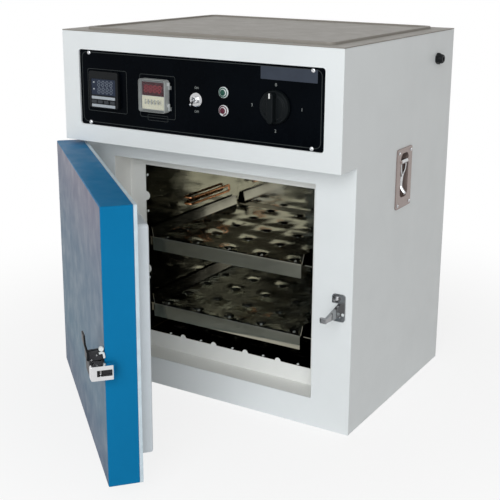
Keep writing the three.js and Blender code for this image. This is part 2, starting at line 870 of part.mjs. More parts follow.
oven.add(
  piece('upper_left_runner', 'steel', runner(-1, upperTrayTop)),
  piece('upper_right_runner', 'steel', runner(1, upperTrayTop)),
  piece('lower_left_runner', 'steel', runner(-1, lowerTrayTop)),
  piece('lower_right_runner', 'steel', runner(1, lowerTrayTop)),
  piece('upper_tray', 'steel', tray(upperTrayTop)),
  piece('lower_tray', 'steel', tray(lowerTrayTop)),
);

// Control panel and what is fitted in it

// The same as turned, but about a line out of the right-hand side.
function turnedSide(points, x, y, z, steps = roundSteps) {
  const profile = points.map(([r, out]) => new THREE.Vector2(r, out));
  return new THREE.LatheGeometry(profile, steps).rotateZ(-Math.PI / 2).translate(x, y, z);
}

function aroundPoint(x, z, width, height, radius) {
  return roundedRectangle(x - width / 2, x + width / 2, z - height / 2, z + height / 2, radius);
}

function hole(x, z, radius) {
  return new THREE.Path().absarc(x, z, radius, 0, Math.PI * 2);
}

function controlPanel() {
  const shape = rectangle(-panelLeft - panelOverlap, panelRight + panelOverlap,
    panelBottom - panelOverlap, panelTop + panelOverlap);
  const clear = panelHoleClear;
  const controllerHalf = controllerBodyWidth / 2 + clear;
  const timerHalf = timerBodyWidth / 2 + clear;
  shape.holes.push(
    rectangle(controllerX - controllerHalf, controllerX + controllerHalf,
      controllerZ - controllerHalf, controllerZ + controllerHalf),
    rectangle(timerX - timerHalf, timerX + timerHalf, timerZ - timerHalf, timerZ + timerHalf),
    hole(toggleX, toggleZ, toggleBushRadius + clear),
    hole(lampX, greenLampZ, lampBodyRadius + clear),
    hole(lampX, redLampZ, lampBodyRadius + clear),
    hole(knobX, knobZ, heatSwitchBushRadius + clear),
  );
  return facing(shape, panelY, panelBackY, 0, roundSteps / 2);
}

const controllerFaceY = panelY - controllerProud;
const keyZ = controllerZ - keyDrop;
const keyFirstX = controllerX - keyPitch * (keyCount - 1) / 2;

function temperatureController() {
  const bezel = facing(aroundPoint(controllerX, controllerZ, controllerWidth, controllerHeight,
    controllerCorner), controllerFaceY, panelY - seat, controllerBevel);
  const half = controllerBodyWidth / 2;
  const body = block(controllerX - half, controllerX + half, panelY - seat * 2,
    panelY + controllerBodyDepth, controllerZ - half, controllerZ + half);
  const display = facing(aroundPoint(controllerX, controllerZ + displayRise, displayWidth,
    displayHeight, displayRecess), controllerFaceY - overrun, controllerFaceY + displayRecess);
  const wellDepth = keyLength - keyProud + keyStroke + keyClear;
  const wells = [];
  for (let i = 0; i < keyCount; i += 1) {
    const x = keyFirstX + i * keyPitch;
    wells.push(block(x - keyWidth / 2 - keyClear, x + keyWidth / 2 + keyClear,
      controllerFaceY - overrun, controllerFaceY + wellDepth,
      keyZ - keyHeight / 2 - keyClear, keyZ + keyHeight / 2 + keyClear));
  }
  return cut(fuse(bezel, body), display, ...wells);
}

function controllerKey(index) {
  const x = keyFirstX + index * keyPitch;
  const front = controllerFaceY - keyProud;
  return facing(aroundPoint(x, keyZ, keyWidth, keyHeight, keyHeight / 4), front,
    front + keyLength, keyBevel, 1);
}

const timerFaceY = panelY - timerProud;
const timerHingeX = timerX + timerCoverWidth / 2 + timerHingeOffset;
const timerHingeY = panelY - timerHingeOut;
const wheelY = timerFaceY + wheelRadius - wheelProud;
const wheelZ = timerZ - wheelDrop;
const wheelFirstX = timerX - wheelPitch * (wheelCount - 1) / 2;

function timer() {
  const cover = [timerCoverWidth, timerCoverHeight];
  const flange = facing(aroundPoint(timerX, timerZ, ...cover, timerCoverCorner),
    panelY - timerFlangeProud, panelY - seat);
  const front = facing(aroundPoint(timerX, timerZ, timerWidth, timerHeight, timerCoverWall),
    timerFaceY, panelY - seat * 2);
  const half = timerBodyWidth / 2;
  const body = block(timerX - half, timerX + half, panelY - seat * 2,
    panelY + timerBodyDepth, timerZ - half, timerZ + half);
  const ears = [];
  for (const k of [-1, 1]) {
    const z1 = timerZ + k * timerKnuckleSpread;
    const z0 = z1 - timerKnuckleLength;
    ears.push(
      rod([timerHingeX, timerHingeY, z0], [timerHingeX, timerHingeY, z1], timerHingeRadius,
        smallSteps),
      rod([timerHingeX, timerHingeY, z0], [timerHingeX, timerHingeY, z1 + timerKnuckleLength],
        timerHingePinRadius, smallSteps),
      block(timerX + half, timerHingeX + timerHingeRadius, panelY - timerFlangeProud,
        panelY - seat, z0, z1),
      block(timerHingeX - timerHingeRadius, timerHingeX + timerHingeRadius, timerHingeY,
        panelY - seat, z0, z1),
    );
  }
  const window = block(timerX - timerWindowWidth / 2, timerX + timerWindowWidth / 2,
    timerFaceY - overrun, timerFaceY + timerWindowRecess,
    timerZ + timerWindowRise - timerWindowHeight / 2,
    timerZ + timerWindowRise + timerWindowHeight / 2);
  const pockets = [];
  for (let i = 0; i < wheelCount; i += 1) {
    const x = wheelFirstX + i * wheelPitch;
    const reach = wheelWidth / 2 + wheelClear;
    pockets.push(rod([x - reach, wheelY, wheelZ], [x + reach, wheelY, wheelZ],
      wheelRadius + wheelClear, smallSteps + 2));
  }
  return cut(fuse(flange, front, body, ...ears), window, ...pockets);
}

// A ribbed number wheel, one rib and one hollow to each number.
function thumbwheel(index) {
  const x = wheelFirstX + index * wheelPitch;
  const rim = [];
  for (let i = 0; i < wheelSides; i += 1) {
    const angle = i * Math.PI * 2 / wheelSides;
    const radius = i % 2 === 0 ? wheelRadius : wheelRadius - wheelClear;
    rim.push([radius * Math.cos(angle), radius * Math.sin(angle)]);
  }
  return sideways(outline(rim), -wheelWidth / 2, wheelWidth / 2).translate(x, wheelY, wheelZ);
}

function timerCover() {
  const front = panelY - timerCoverProud;
  const back = panelY - timerFlangeProud - seat;
  const shell = facing(aroundPoint(timerX, timerZ, timerCoverWidth, timerCoverHeight,
    timerCoverCorner), front, back, timerCoverWall / 2);
  const hollow = facing(aroundPoint(timerX, timerZ, timerCoverWidth - timerCoverWall * 2,
    timerCoverHeight - timerCoverWall * 2, timerCoverCorner - timerCoverWall),
  front + timerCoverWall, back + overrun);
  const knuckles = [];
  const bores = [];
  const wallX = timerX + timerCoverWidth / 2 - timerCoverWall / 2;
  for (const k of [-1, 1]) {
    const z0 = timerZ + k * timerKnuckleSpread + seat;
    const z1 = z0 + timerKnuckleLength;
    knuckles.push(
      rod([timerHingeX, timerHingeY, z0], [timerHingeX, timerHingeY, z1], timerHingeRadius,
        smallSteps),
      block(wallX, timerHingeX, timerHingeY - timerHingeRadius, timerHingeY, z0, z1),
    );
    bores.push(rod([timerHingeX, timerHingeY, z0 - overrun], [timerHingeX, timerHingeY,
      z1 + overrun], timerHingePinRadius + seat, smallSteps));
  }
  return cut(fuse(cut(shell, hollow), ...knuckles), ...bores);
}

function toggleSwitch() {
  const nut = new THREE.CylinderGeometry(toggleNutRadius, toggleNutRadius, toggleNutHeight, 6)
    .translate(toggleX, panelY - seat - toggleNutHeight / 2, toggleZ);
  const bush = turned([
    [0, -panelSheet - seat * 2], [toggleBushRadius, -panelSheet - seat * 2],
    [toggleBushRadius, toggleBushProud - toggleBoreRadius / 4],
    [toggleBushRadius - toggleBoreRadius / 4, toggleBushProud], [0, toggleBushProud],
  ], toggleX, panelY, toggleZ);
  const bore = rod([toggleX, panelY - toggleBushProud - overrun, toggleZ],
    [toggleX, panelY - toggleBushProud + toggleBoreDepth, toggleZ], toggleBoreRadius);
  const body = block(toggleX - toggleBodyWidth / 2, toggleX + toggleBodyWidth / 2,
    panelBackY + seat, panelBackY + seat + toggleBodyDepth,
    toggleZ - toggleBodyHeight / 2, toggleZ + toggleBodyHeight / 2);
  return cut(fuse(bush, nut, body), bore);
}

const toggleBallY = panelY - toggleBushProud + toggleBoreDepth - toggleBallRadius - seat;

function toggleLever() {
  const ball = toggleBallRadius;
  const neck = Math.sqrt(ball * ball - toggleLeverRootRadius * toggleLeverRootRadius);
  return turned([
    [0, -ball], [ball * Math.SQRT1_2, -ball * Math.SQRT1_2], [ball, 0],
    [toggleLeverRootRadius, neck],
    [toggleLeverTipRadius, toggleLeverLength - toggleLeverTipRadius],
    [toggleLeverTipRadius * Math.SQRT1_2, toggleLeverLength - toggleLeverTipRadius / 4],
    [0, toggleLeverLength],
  ], 0, 0, 0, smallSteps);
}

function pilotLamp(z) {
  const back = -panelSheet - seat;
  const dome = lampLensHeight - lampBezelHeight;
  return turned([
    [0, back - lampBodyDepth], [lampBodyRadius - seat, back - lampBodyDepth],
    [lampBodyRadius, back], [lampBodyRadius, seat], [lampBezelRadius, seat],
    [lampBezelRadius, lampBezelHeight / 2], [lampBezelRadius - lampBezelHeight / 3,
      lampBezelHeight], [lampLensRadius, lampBezelHeight],
    [lampLensRadius * Math.cos(Math.PI / 6), lampBezelHeight + dome / 2],
    [lampLensRadius / 2, lampBezelHeight + dome * Math.cos(Math.PI / 6)], [0, lampLensHeight],
  ], lampX, panelY, z);
}

function heatSwitch() {
  const back = -panelSheet - seat;
  return turned([
    [0, back - heatSwitchDepth], [heatSwitchRadius, back - heatSwitchDepth],
    [heatSwitchRadius, back], [heatSwitchBushRadius, back], [heatSwitchBushRadius, seat],
    [heatSwitchNutRadius, seat], [heatSwitchNutRadius, heatSwitchNutProud],
    [shaftRadius, heatSwitchNutProud], [shaftRadius, shaftProud], [0, shaftProud],
  ], knobX, panelY, knobZ, smallSteps + 2);
}

// A skirted knob with a raised bar to grip.
function heatSwitchKnob() {
  const skirt = turned([
    [0, 0], [knobRadius, 0], [knobRadius, knobSkirtHeight / 2],
    [knobRadius - knobSkirtHeight / 4, knobSkirtHeight],
    ...knobCrownShares.map(([r, out]) => [knobDomeRadius * r, knobSkirtHeight * out]),
  ], 0, 0, 0, roundSteps + smallSteps);
  const grip = facing(aroundPoint(0, 0, knobGripWidth, knobGripLength, knobGripWidth / 2 - seat),
    -knobGripHeight, -knobSkirtHeight / 2, knobGripWidth / 6);
  const bore = rod([0, overrun, 0], [0, -knobBoreDepth, 0], knobBoreRadius, smallSteps);
  return cut(fuse(skirt, grip), bore);
}

const glandY = backY - glandFromBack;

function cableGland() {
  const nut = new THREE.CylinderGeometry(glandNutRadius, glandNutRadius, glandNutHeight, 6)
    .rotateZ(-Math.PI / 2).translate(side + seat + glandNutHeight / 2, glandY, glandZ);
  const dome = turnedSide([
    [0, -glandThreadLength], [glandThreadRadius, -glandThreadLength], [glandThreadRadius, seat * 2],
    [glandDomeRadius, glandNutHeight],
    ...glandDomeShares.map(([r, out]) => [glandDomeRadius * r, glandDomeHeight * out]),
    [0, glandDomeHeight],
  ], side, glandY, glandZ);
  const bore = rod([side - glandThreadLength - overrun, glandY, glandZ],
    [side + glandDomeHeight + overrun, glandY, glandZ], glandBoreRadius, smallSteps);
  return cut(fuse(dome, nut), bore);
}

function lever() {
  const mesh = piece('toggle_lever', 'chrome', toggleLever());
  mesh.position.set(toggleX, toggleBallY, toggleZ);
  mesh.rotation.x = rad(toggleSwing);
  return mesh;
}

function knob() {
  const mesh = piece('heat_switch_knob', 'blackPlastic', heatSwitchKnob());
  mesh.position.set(knobX, panelY - knobGap, knobZ);
  return mesh;
}

oven.add(
  piece('control_panel', 'blackPanel', controlPanel()),
  piece('temperature_controller', 'blackPlastic', temperatureController()),
  piece('timer', 'greyPlastic', timer()),
  piece('timer_cover', 'clearPlastic', timerCover()),
  piece('toggle_switch', 'chrome', toggleSwitch()),
  lever(),
  piece('green_pilot_lamp', 'greenLens', pilotLamp(greenLampZ)),
  piece('red_pilot_lamp', 'redLens', pilotLamp(redLampZ)),
  piece('heat_switch', 'blackPlastic', heatSwitch()),
  knob(),
  piece('cable_gland', 'blackPlastic', cableGland()),
);
for (let i = 0; i < keyCount; i += 1) {
  oven.add(piece(`controller_key_${i + 1}`, 'greyPlastic', controllerKey(i)));
}
for (let i = 0; i < wheelCount; i += 1) {
  oven.add(piece(`timer_thumbwheel_${i + 1}`, 'creamPlastic', thumbwheel(i)));
}

// Carrying handles: a dished plate with a grip that hangs from a pin and lies in the dish

const plateBackX = side + seat;
const plateFaceX = plateBackX + handlePlateThickness;
const handlePinX = plateFaceX - handlePinSunk;
const handlePinZ = handleZ + handlePinRise;

function handlePlate() {
  const y = handleY;
  const plate = sideways(roundedRectangle(y - handlePlateWidth / 2, y + handlePlateWidth / 2,
    handleZ - handlePlateHeight / 2, handleZ + handlePlateHeight / 2, handlePlateCorner),
  plateBackX, plateFaceX);
  const dishBack = plateFaceX - handleDishDepth;
  const wall = handleDishWall;
  const around = [y, handleZ + handleDishRise, handleDishWidth, handleDishHeight];
  const outer = sideways(aroundPoint(...around, handleDishCorner), dishBack, plateFaceX,
    0, smallSteps / 2);
  around[2] -= wall * 2;
  around[3] -= wall * 2;
  const inner = sideways(aroundPoint(...around, handleDishCorner - wall), dishBack + wall,
    plateFaceX + overrun, 0, smallSteps / 2);
  const ears = [];
  for (const k of [-1, 1]) {
    const y0 = y + k * (handleEarGap + handleEarWidth) / 2 - handleEarWidth / 2;
    const y1 = y0 + handleEarWidth;
    ears.push(
      rod([handlePinX, y0, handlePinZ], [handlePinX, y1, handlePinZ], handleEarRadius,
        smallSteps),
      block(dishBack, handlePinX, y0, y1, handlePinZ - handleEarRadius,
        handlePinZ + handleEarRadius),
    );
  }
  const reach = handleEarGap / 2 + handleEarWidth / 2;
  const pin = rod([handlePinX, y - reach, handlePinZ], [handlePinX, y + reach, handlePinZ],
    handlePinRadius, smallSteps);
  return fuse(cut(fuse(plate, outer), inner), ...ears, pin);
}

// The grip's fork runs together into one bar, which ends flicked out for the fingers.
function handleGrip() {
  const y = handleY;
  const half = handleEarGap / 2 - seat;
  const barrel = rod([handlePinX, y - half, handlePinZ], [handlePinX, y + half, handlePinZ],
    handleBarrelRadius, smallSteps);
  const bar = handleBarRadius;
  const join = handlePinZ - handleForkLength;
  const end = handlePinZ - handleBarLength;
  const sag = handlePinX - handleSag;
  const grip = swept([
    [handlePinX - handleSag / 2, y, join + bar], [sag, y, (join * 2 + end) / 3],
    [sag, y, (join + end * 2) / 3], [handlePinX + handleFlick, y, end],
  ], bar, tubeSides, tubeSides + 2);
  const prongs = [-1, 1].map((k) => swept([
    [handlePinX, y + k * handleForkSpread, handlePinZ],
    [handlePinX, y + k * handleForkSpread, handlePinZ - handleForkLength / 2],
    [handlePinX - handleSag / 2, y + k * bar / 3, join],
    [handlePinX - handleSag / 2, y, join - bar],
  ], handleForkRadius, cornerSteps * 2));
  const tip = new THREE.SphereGeometry(handleTipRadius, tubeSides + 2, tubeSides)
    .translate(handlePinX + handleFlick, y, end);
  const bore = rod([handlePinX, y - half - overrun, handlePinZ],
    [handlePinX, y + half + overrun, handlePinZ], handlePinRadius + handlePinClear, smallSteps);
  return cut(fuse(barrel, grip, tip, ...prongs), bore);
}

oven.add(
  piece('right_handle_plate', 'satinSteel', handlePlate()),
  piece('right_handle_grip', 'chrome', handleGrip()),
  piece('left_handle_plate', 'satinSteel', mirrored(handlePlate())),
  piece('left_handle_grip', 'chrome', mirrored(handleGrip())),
);

// Hinges: a fixed leaf with a pin on the cabinet, and a leaf that lifts off it on the door

const lowerHingeZ = doorBottom + hingeInset;
const upperHingeZ = doorTop - hingeInset;

// A flat strip between two points in plan, standing from z0 to z1.
function strip(from, to, thickness, z0, z1) {
  const [dx, dy] = [to[0] - from[0], to[1] - from[1]];
  const length = Math.hypot(dx, dy);
  return block(0, length, -thickness / 2, thickness / 2, z0, z1)
    .rotateZ(Math.atan2(dy, dx)).translate(from[0], from[1], 0);
}

function fixedHingeLeaf(z) {
  const x = -side - seat;
  const y = frontY + hingeFixedLeafStart;
  const half = hingeLeafHeight / 2;
  const thick = hingeLeafThickness;
  const leaf = block(x - thick, x, y, y + hingeFixedLeafLength, z - half, z + half);
  const web = strip([x - thick / 2, y + thick / 2], [hingeX, hingeY], thick,
    z - hingeKnuckleLength, z);
  const knuckle = rod([hingeX, hingeY, z - hingeKnuckleLength], [hingeX, hingeY, z],
    hingeKnuckleRadius);
  const pin = rod([hingeX, hingeY, z - thick], [hingeX, hingeY,
    z + hingeKnuckleLength + hingePinCapHeight], hingePinRadius, smallSteps);
  return fuse(leaf, web, knuckle, pin);
}

function doorHingeLeaf(z) {
  const x = -doorLeft - seat;
  const y = hingeY - hingeDoorLeafStart;
  const half = hingeLeafHeight / 2;
  const thick = hingeLeafThickness;
  const z0 = z + seat;
  const z1 = z + hingeKnuckleLength;
  const leaf = block(x - thick, x, y - hingeDoorLeafLength, y, z - half, z + half);
  const web = strip([x - thick / 2, y - thick / 2], [hingeX, hingeY], thick, z0, z1);
  const knuckle = rod([hingeX, hingeY, z0], [hingeX, hingeY, z1], hingeKnuckleRadius);
  const bore = rod([hingeX, hingeY, z0 - overrun], [hingeX, hingeY, z1 + overrun],
    hingePinRadius + hingePinClear, smallSteps);
  return cut(fuse(leaf, web, knuckle), bore);
}

oven.add(
  piece('upper_hinge_fixed_leaf', 'zinc', fixedHingeLeaf(upperHingeZ)),
  piece('lower_hinge_fixed_leaf', 'zinc', fixedHingeLeaf(lowerHingeZ)),
);

// Latch strike: a ribbed arm with a nose that points to the door

function latchStrike() {
  const y = frontY - seat;
  const root = y - strikePlateThickness;
  const left = doorRight + strikePlateGap;
  const bottom = latchZ - strikePlateDrop;
  const top = latchZ + strikePlateRise;
  const webX = left + strikeWebInset;
  const noseX = left + strikeNoseInset;
  const noseFront = doorFaceY - strikeNoseOut;
  const noseBack = doorFaceY + strikeNoseIn;
  const noseTop = latchZ + strikeNoseHeight / 2;
  const noseBottom = latchZ - strikeNoseHeight / 2;
  const plate = facing(roundedRectangle(left, left + strikePlateWidth, bottom, top, strikeCorner),
    root, y);
  const web = sideways(outline([
    [y, latchZ - strikeWebDrop], [y, latchZ + strikeWebRise], [root, latchZ + strikeWebRise],
    [noseBack, noseTop], [noseFront, noseTop], [noseFront, noseBottom], [noseBack, noseBottom],
    [root, latchZ - strikeWebDrop],
  ]), webX, webX + strikeWebThickness);
  const depth = strikeNoseOut + strikeNoseIn;
  const nose = standing(outline([
    [webX + strikeWebThickness, noseFront], [webX + strikeWebThickness, noseBack],
    [noseX + depth / 4, noseBack], [noseX, noseBack - depth / 4], [noseX, noseFront + depth / 2],
    [noseX + depth / 2, noseFront],
  ]), noseBottom, noseTop);
  const middle = left + strikePlateWidth / 2;
  const screwInset = strikeScrewBossRadius + strikeScrewBossHeight;
  const bosses = [bottom + screwInset, top - screwInset].map((z) => rod(
    [middle, y, z], [middle, root - strikeScrewBossHeight, z], strikeScrewBossRadius, smallSteps,
  ));
  return fuse(plate, web, nose, ...bosses);
}

oven.add(piece('latch_strike', 'chrome', latchStrike()));

// Door. All of it is drawn shut, and its group swings it to where it stands ajar.

const ajar = new THREE.Group();
ajar.position.set(hingeX, hingeY, 0);
ajar.rotation.z = -rad(doorRestAngle);
const shut = new THREE.Group();
shut.position.set(-hingeX, -hingeY, 0);
ajar.add(shut);
oven.add(ajar);

function doorOutline() {
  return roundedRectangle(-doorLeft, doorRight, doorBottom, doorTop, doorCorner);
}

function doorShell() {
  const past = doorBackY + overrun;
  const solid = facing(doorOutline(), doorFaceY, past, doorBevel);
  const cavity = block(-doorLeft + doorSheet, doorRight - doorSheet, doorFaceY + doorSheet,
    past, doorBottom + doorSheet, doorTop - doorSheet);
  const behind = block(-doorLeft - overrun, doorRight + overrun, doorBackY, past + overrun,
    doorBottom - overrun, doorTop + overrun);
  return cut(solid, cavity, behind);
}

function plugOutline(inset) {
  return roundedRectangle(-plugLeft + inset, plugRight - inset, plugBottom + inset,
    plugTop - inset, Math.max(plugCorner - inset, seat));
}

function doorInnerPan() {
  const reach = doorSheet + seat;
  const flange = block(-doorLeft + reach, doorRight - reach, doorBackY - doorSheet, doorBackY,
    doorBottom + reach, doorTop - reach);
  const plug = facing(plugOutline(0), doorBackY - doorSheet - plugBevel, plugFaceY, plugBevel);
  const trim = block(-doorLeft, doorRight, doorFaceY, doorBackY - doorSheet, doorBottom, doorTop);
  const hollow = facing(plugOutline(doorSheet), doorBackY - doorSheet - overrun,
    plugFaceY - doorSheet - plugBevel / 2);
  return cut(fuse(flange, plug), trim, hollow);
}

function doorGasket() {
  const shape = doorOutline();
  shape.holes.push(plugOutline(-gasketClear));
  return facing(shape, doorBackY + seat, frontY - seat);
}

function doorInsulation() {
  const reach = doorSheet + seat;
  const slab = block(-doorLeft + reach, doorRight - reach, doorFaceY + reach,
    doorBackY - reach, doorBottom + reach, doorTop - reach);
  const pad = facing(plugOutline(doorSheet + seat), doorBackY - reach * 2,
    plugFaceY - doorSheet - plugBevel / 2 - seat);
  return fuse(slab, pad);
}

// Latch. Distances along X are from the free edge, along Y from the door's face.

const boltHeadX = doorRight + boltReach - boltHeadLength;
const boltTipX = doorRight + boltReach;
const leverPivotX = doorRight - leverPivotFromEdge;
const bridgeX = leverPivotX - leverFingerWidth / 2 - latchRunClear;
const housingRight = doorRight - latchHousingEdgeGap;
const housingBackY = doorFaceY - seat;
const housingFaceY = doorFaceY - latchHousingProud;
const fingerBackY = doorFaceY - leverFingerGap;
const fingerFrontY = fingerBackY - leverFingerThickness;

// A windowed head that drops over the strike's nose, on two arms joined by a bridge.
function latchBolt() {
  const outer = doorFaceY - boltOuter;
  const inner = doorFaceY + boltInner;
  const head = standing(outline([
    [boltHeadX, outer], [boltTipX, outer], [boltTipX, inner - boltNoseBevel],
    [boltHeadX + boltNoseBevel / 3, inner], [boltHeadX, inner],
  ]), boltBottom, boltTop);
  const half = boltWindowHeight / 2;
  const window = block(boltHeadX - overrun, boltTipX + overrun, doorFaceY - boltWindowOuter,
    doorFaceY + boltWindowInner, latchZ - half, latchZ + half);
  const arms = [];
  const armFront = doorFaceY - boltArmOuter;
  for (const z of [boltBottom, boltTop - boltArmHeight]) {
    arms.push(
      block(bridgeX - boltBridgeLength, boltHeadX + seat, armFront,
        doorFaceY - boltArmInner, z, z + boltArmHeight),
      block(boltHeadX - boltCheekLength, boltHeadX + seat, armFront,
        doorFaceY - boltCheekInner, z, z + boltArmHeight),
    );
  }
  const bridge = block(bridgeX - boltBridgeLength, bridgeX, armFront, fingerBackY,
    boltBottom, boltTop);
  const rollerX = boltHeadX - boltRollerFromHead;
  const rollerY = doorFaceY - boltRollerOut;
  const roller = rod([rollerX, rollerY, boltBottom + seat], [rollerX, rollerY, boltTop - seat],
    boltRollerRadius, smallSteps);
  return fuse(cut(head, window), ...arms, bridge, roller);
}

function latchHousing() {
  const left = housingRight - latchHousingLength;
  const bottom = boltBottom - latchRunClear - latchHousingWall;
  const shell = facing(roundedRectangle(left, housingRight, bottom, latchHousingTop,
    latchHousingCorner), housingFaceY, housingBackY + latchHousingBevel, latchHousingBevel);
  const behind = block(left - overrun, housingRight + overrun, housingBackY,
    housingBackY + overrun, bottom - overrun, latchHousingTop + overrun);
  const channel = block(left + latchHousingWall, housingRight + overrun,
    doorFaceY - boltArmOuter - latchRunClear, housingBackY + overrun,
    boltBottom - latchRunClear, boltTop + latchRunClear);
  const pocket = block(left + latchHousingWall, housingRight - latchHousingWall / 2,
    fingerFrontY - latchRunClear, housingBackY + overrun, boltTop,
    latchHousingTop - latchHousingWall);
  const bore = rod([leverPivotX, housingFaceY - overrun, leverPivotZ],
    [leverPivotX, housingBackY, leverPivotZ], leverPinRadius + leverPinClear, smallSteps);
  const slope = sideways(outline([
    [housingFaceY, latchHousingTop - latchHousingSlope], [housingBackY, latchHousingTop],
    [housingBackY, latchHousingTop + overrun], [housingFaceY - overrun, latchHousingTop + overrun],
    [housingFaceY - overrun, latchHousingTop - latchHousingSlope],
  ]), left - overrun, housingRight + overrun);
  return cut(shell, behind, channel, pocket, bore, slope);
}

// The blade stands off the housing; its pin turns the finger that draws the bolt.
function latchLever() {
  const foot = housingFaceY - seat;
  const thick = leverBladeThickness;
  const curl = leverBladeCurl;
  const knee = leverPivotZ + leverKneeRise;
  const top = leverPivotZ + leverBladeRise;
  const bottom = leverPivotZ - leverBladeDrop;
  const shape = new THREE.Shape();
  shape.moveTo(foot, bottom);
  shape.lineTo(foot, knee);
  shape.quadraticCurveTo(foot - curl * leverBendShare, (knee + top) / 2, foot - curl, top);
  shape.lineTo(foot - curl - thick * leverTipShare, top - thick / 4);
  shape.quadraticCurveTo(foot - curl * leverBendShare - thick, (knee + top) / 2,
    foot - thick, knee);
  shape.lineTo(foot - thick, bottom + thick / 2);
  const half = leverBladeWidth / 2;
  const blade = sideways(shape, leverPivotX - half, leverPivotX + half, thick / 6);
  const pin = rod([leverPivotX, foot - thick / 2, leverPivotZ],
    [leverPivotX, fingerBackY, leverPivotZ], leverPinRadius, smallSteps);
  const hub = rod([leverPivotX, fingerFrontY, leverPivotZ], [leverPivotX, fingerBackY,
    leverPivotZ], leverHubRadius, smallSteps);
  const finger = block(leverPivotX - leverFingerWidth / 2, leverPivotX + leverFingerWidth / 2,
    fingerFrontY, fingerBackY, leverPivotZ - leverFingerLength, leverPivotZ);
  return fuse(blade, pin, hub, finger);
}

shut.add(
  piece('door_shell', 'bluePaint', doorShell()),
  piece('door_inner_pan', 'satinSteel', doorInnerPan()),
  piece('door_gasket', 'silicone', doorGasket()),
  piece('door_insulation', 'wool', doorInsulation()),
  piece('upper_hinge_door_leaf', 'zinc', doorHingeLeaf(upperHingeZ)),
  piece('lower_hinge_door_leaf', 'zinc', doorHingeLeaf(lowerHingeZ)),
  piece('latch_housing', 'cast', latchHousing()),
  piece('latch_bolt', 'chrome', latchBolt()),
  piece('latch_lever', 'chrome', latchLever()),
);

export default oven;
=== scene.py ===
"""Bench hot-air oven: finishes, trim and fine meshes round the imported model. Metres, +Z up."""
import json
import math

import bmesh
import bpy
from mathutils import Matrix, Vector


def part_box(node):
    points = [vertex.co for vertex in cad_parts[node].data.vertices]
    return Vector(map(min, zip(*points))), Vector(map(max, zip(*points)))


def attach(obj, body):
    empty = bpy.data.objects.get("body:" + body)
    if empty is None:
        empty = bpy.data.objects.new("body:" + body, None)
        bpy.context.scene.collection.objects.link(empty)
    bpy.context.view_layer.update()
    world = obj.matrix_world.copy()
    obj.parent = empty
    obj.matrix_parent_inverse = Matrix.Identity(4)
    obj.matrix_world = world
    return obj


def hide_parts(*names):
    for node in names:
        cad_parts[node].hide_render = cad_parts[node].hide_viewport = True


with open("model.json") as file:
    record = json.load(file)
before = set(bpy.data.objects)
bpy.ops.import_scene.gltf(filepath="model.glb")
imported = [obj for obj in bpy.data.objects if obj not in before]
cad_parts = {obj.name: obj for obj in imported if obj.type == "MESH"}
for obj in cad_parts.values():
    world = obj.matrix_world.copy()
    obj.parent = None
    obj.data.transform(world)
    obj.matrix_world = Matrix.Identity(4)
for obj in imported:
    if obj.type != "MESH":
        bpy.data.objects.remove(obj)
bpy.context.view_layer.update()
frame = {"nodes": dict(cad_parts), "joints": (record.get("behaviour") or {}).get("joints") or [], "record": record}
nodes = frame["nodes"]
body_of = {node: body for body, members in frame["record"]["behaviour"]["bodies"].items()
           for node in members}
joints = {joint["name"]: joint for joint in frame["joints"]}
MM = 0.001
IN_PLACE = Matrix.Identity(4)

# Finishes

EVEN = (1, 1, 1)
NOISE_ROUGHNESS = 0.55
MOTTLE_DETAIL, MOTTLE_BAND = 4.0, (0.35, 0.65)
GRAIN_DETAIL, GRAIN_BAND = 3.0, (0.3, 0.7)


def set_inputs(node, values):
    for socket, value in values.items():
        node.inputs[socket].default_value = value


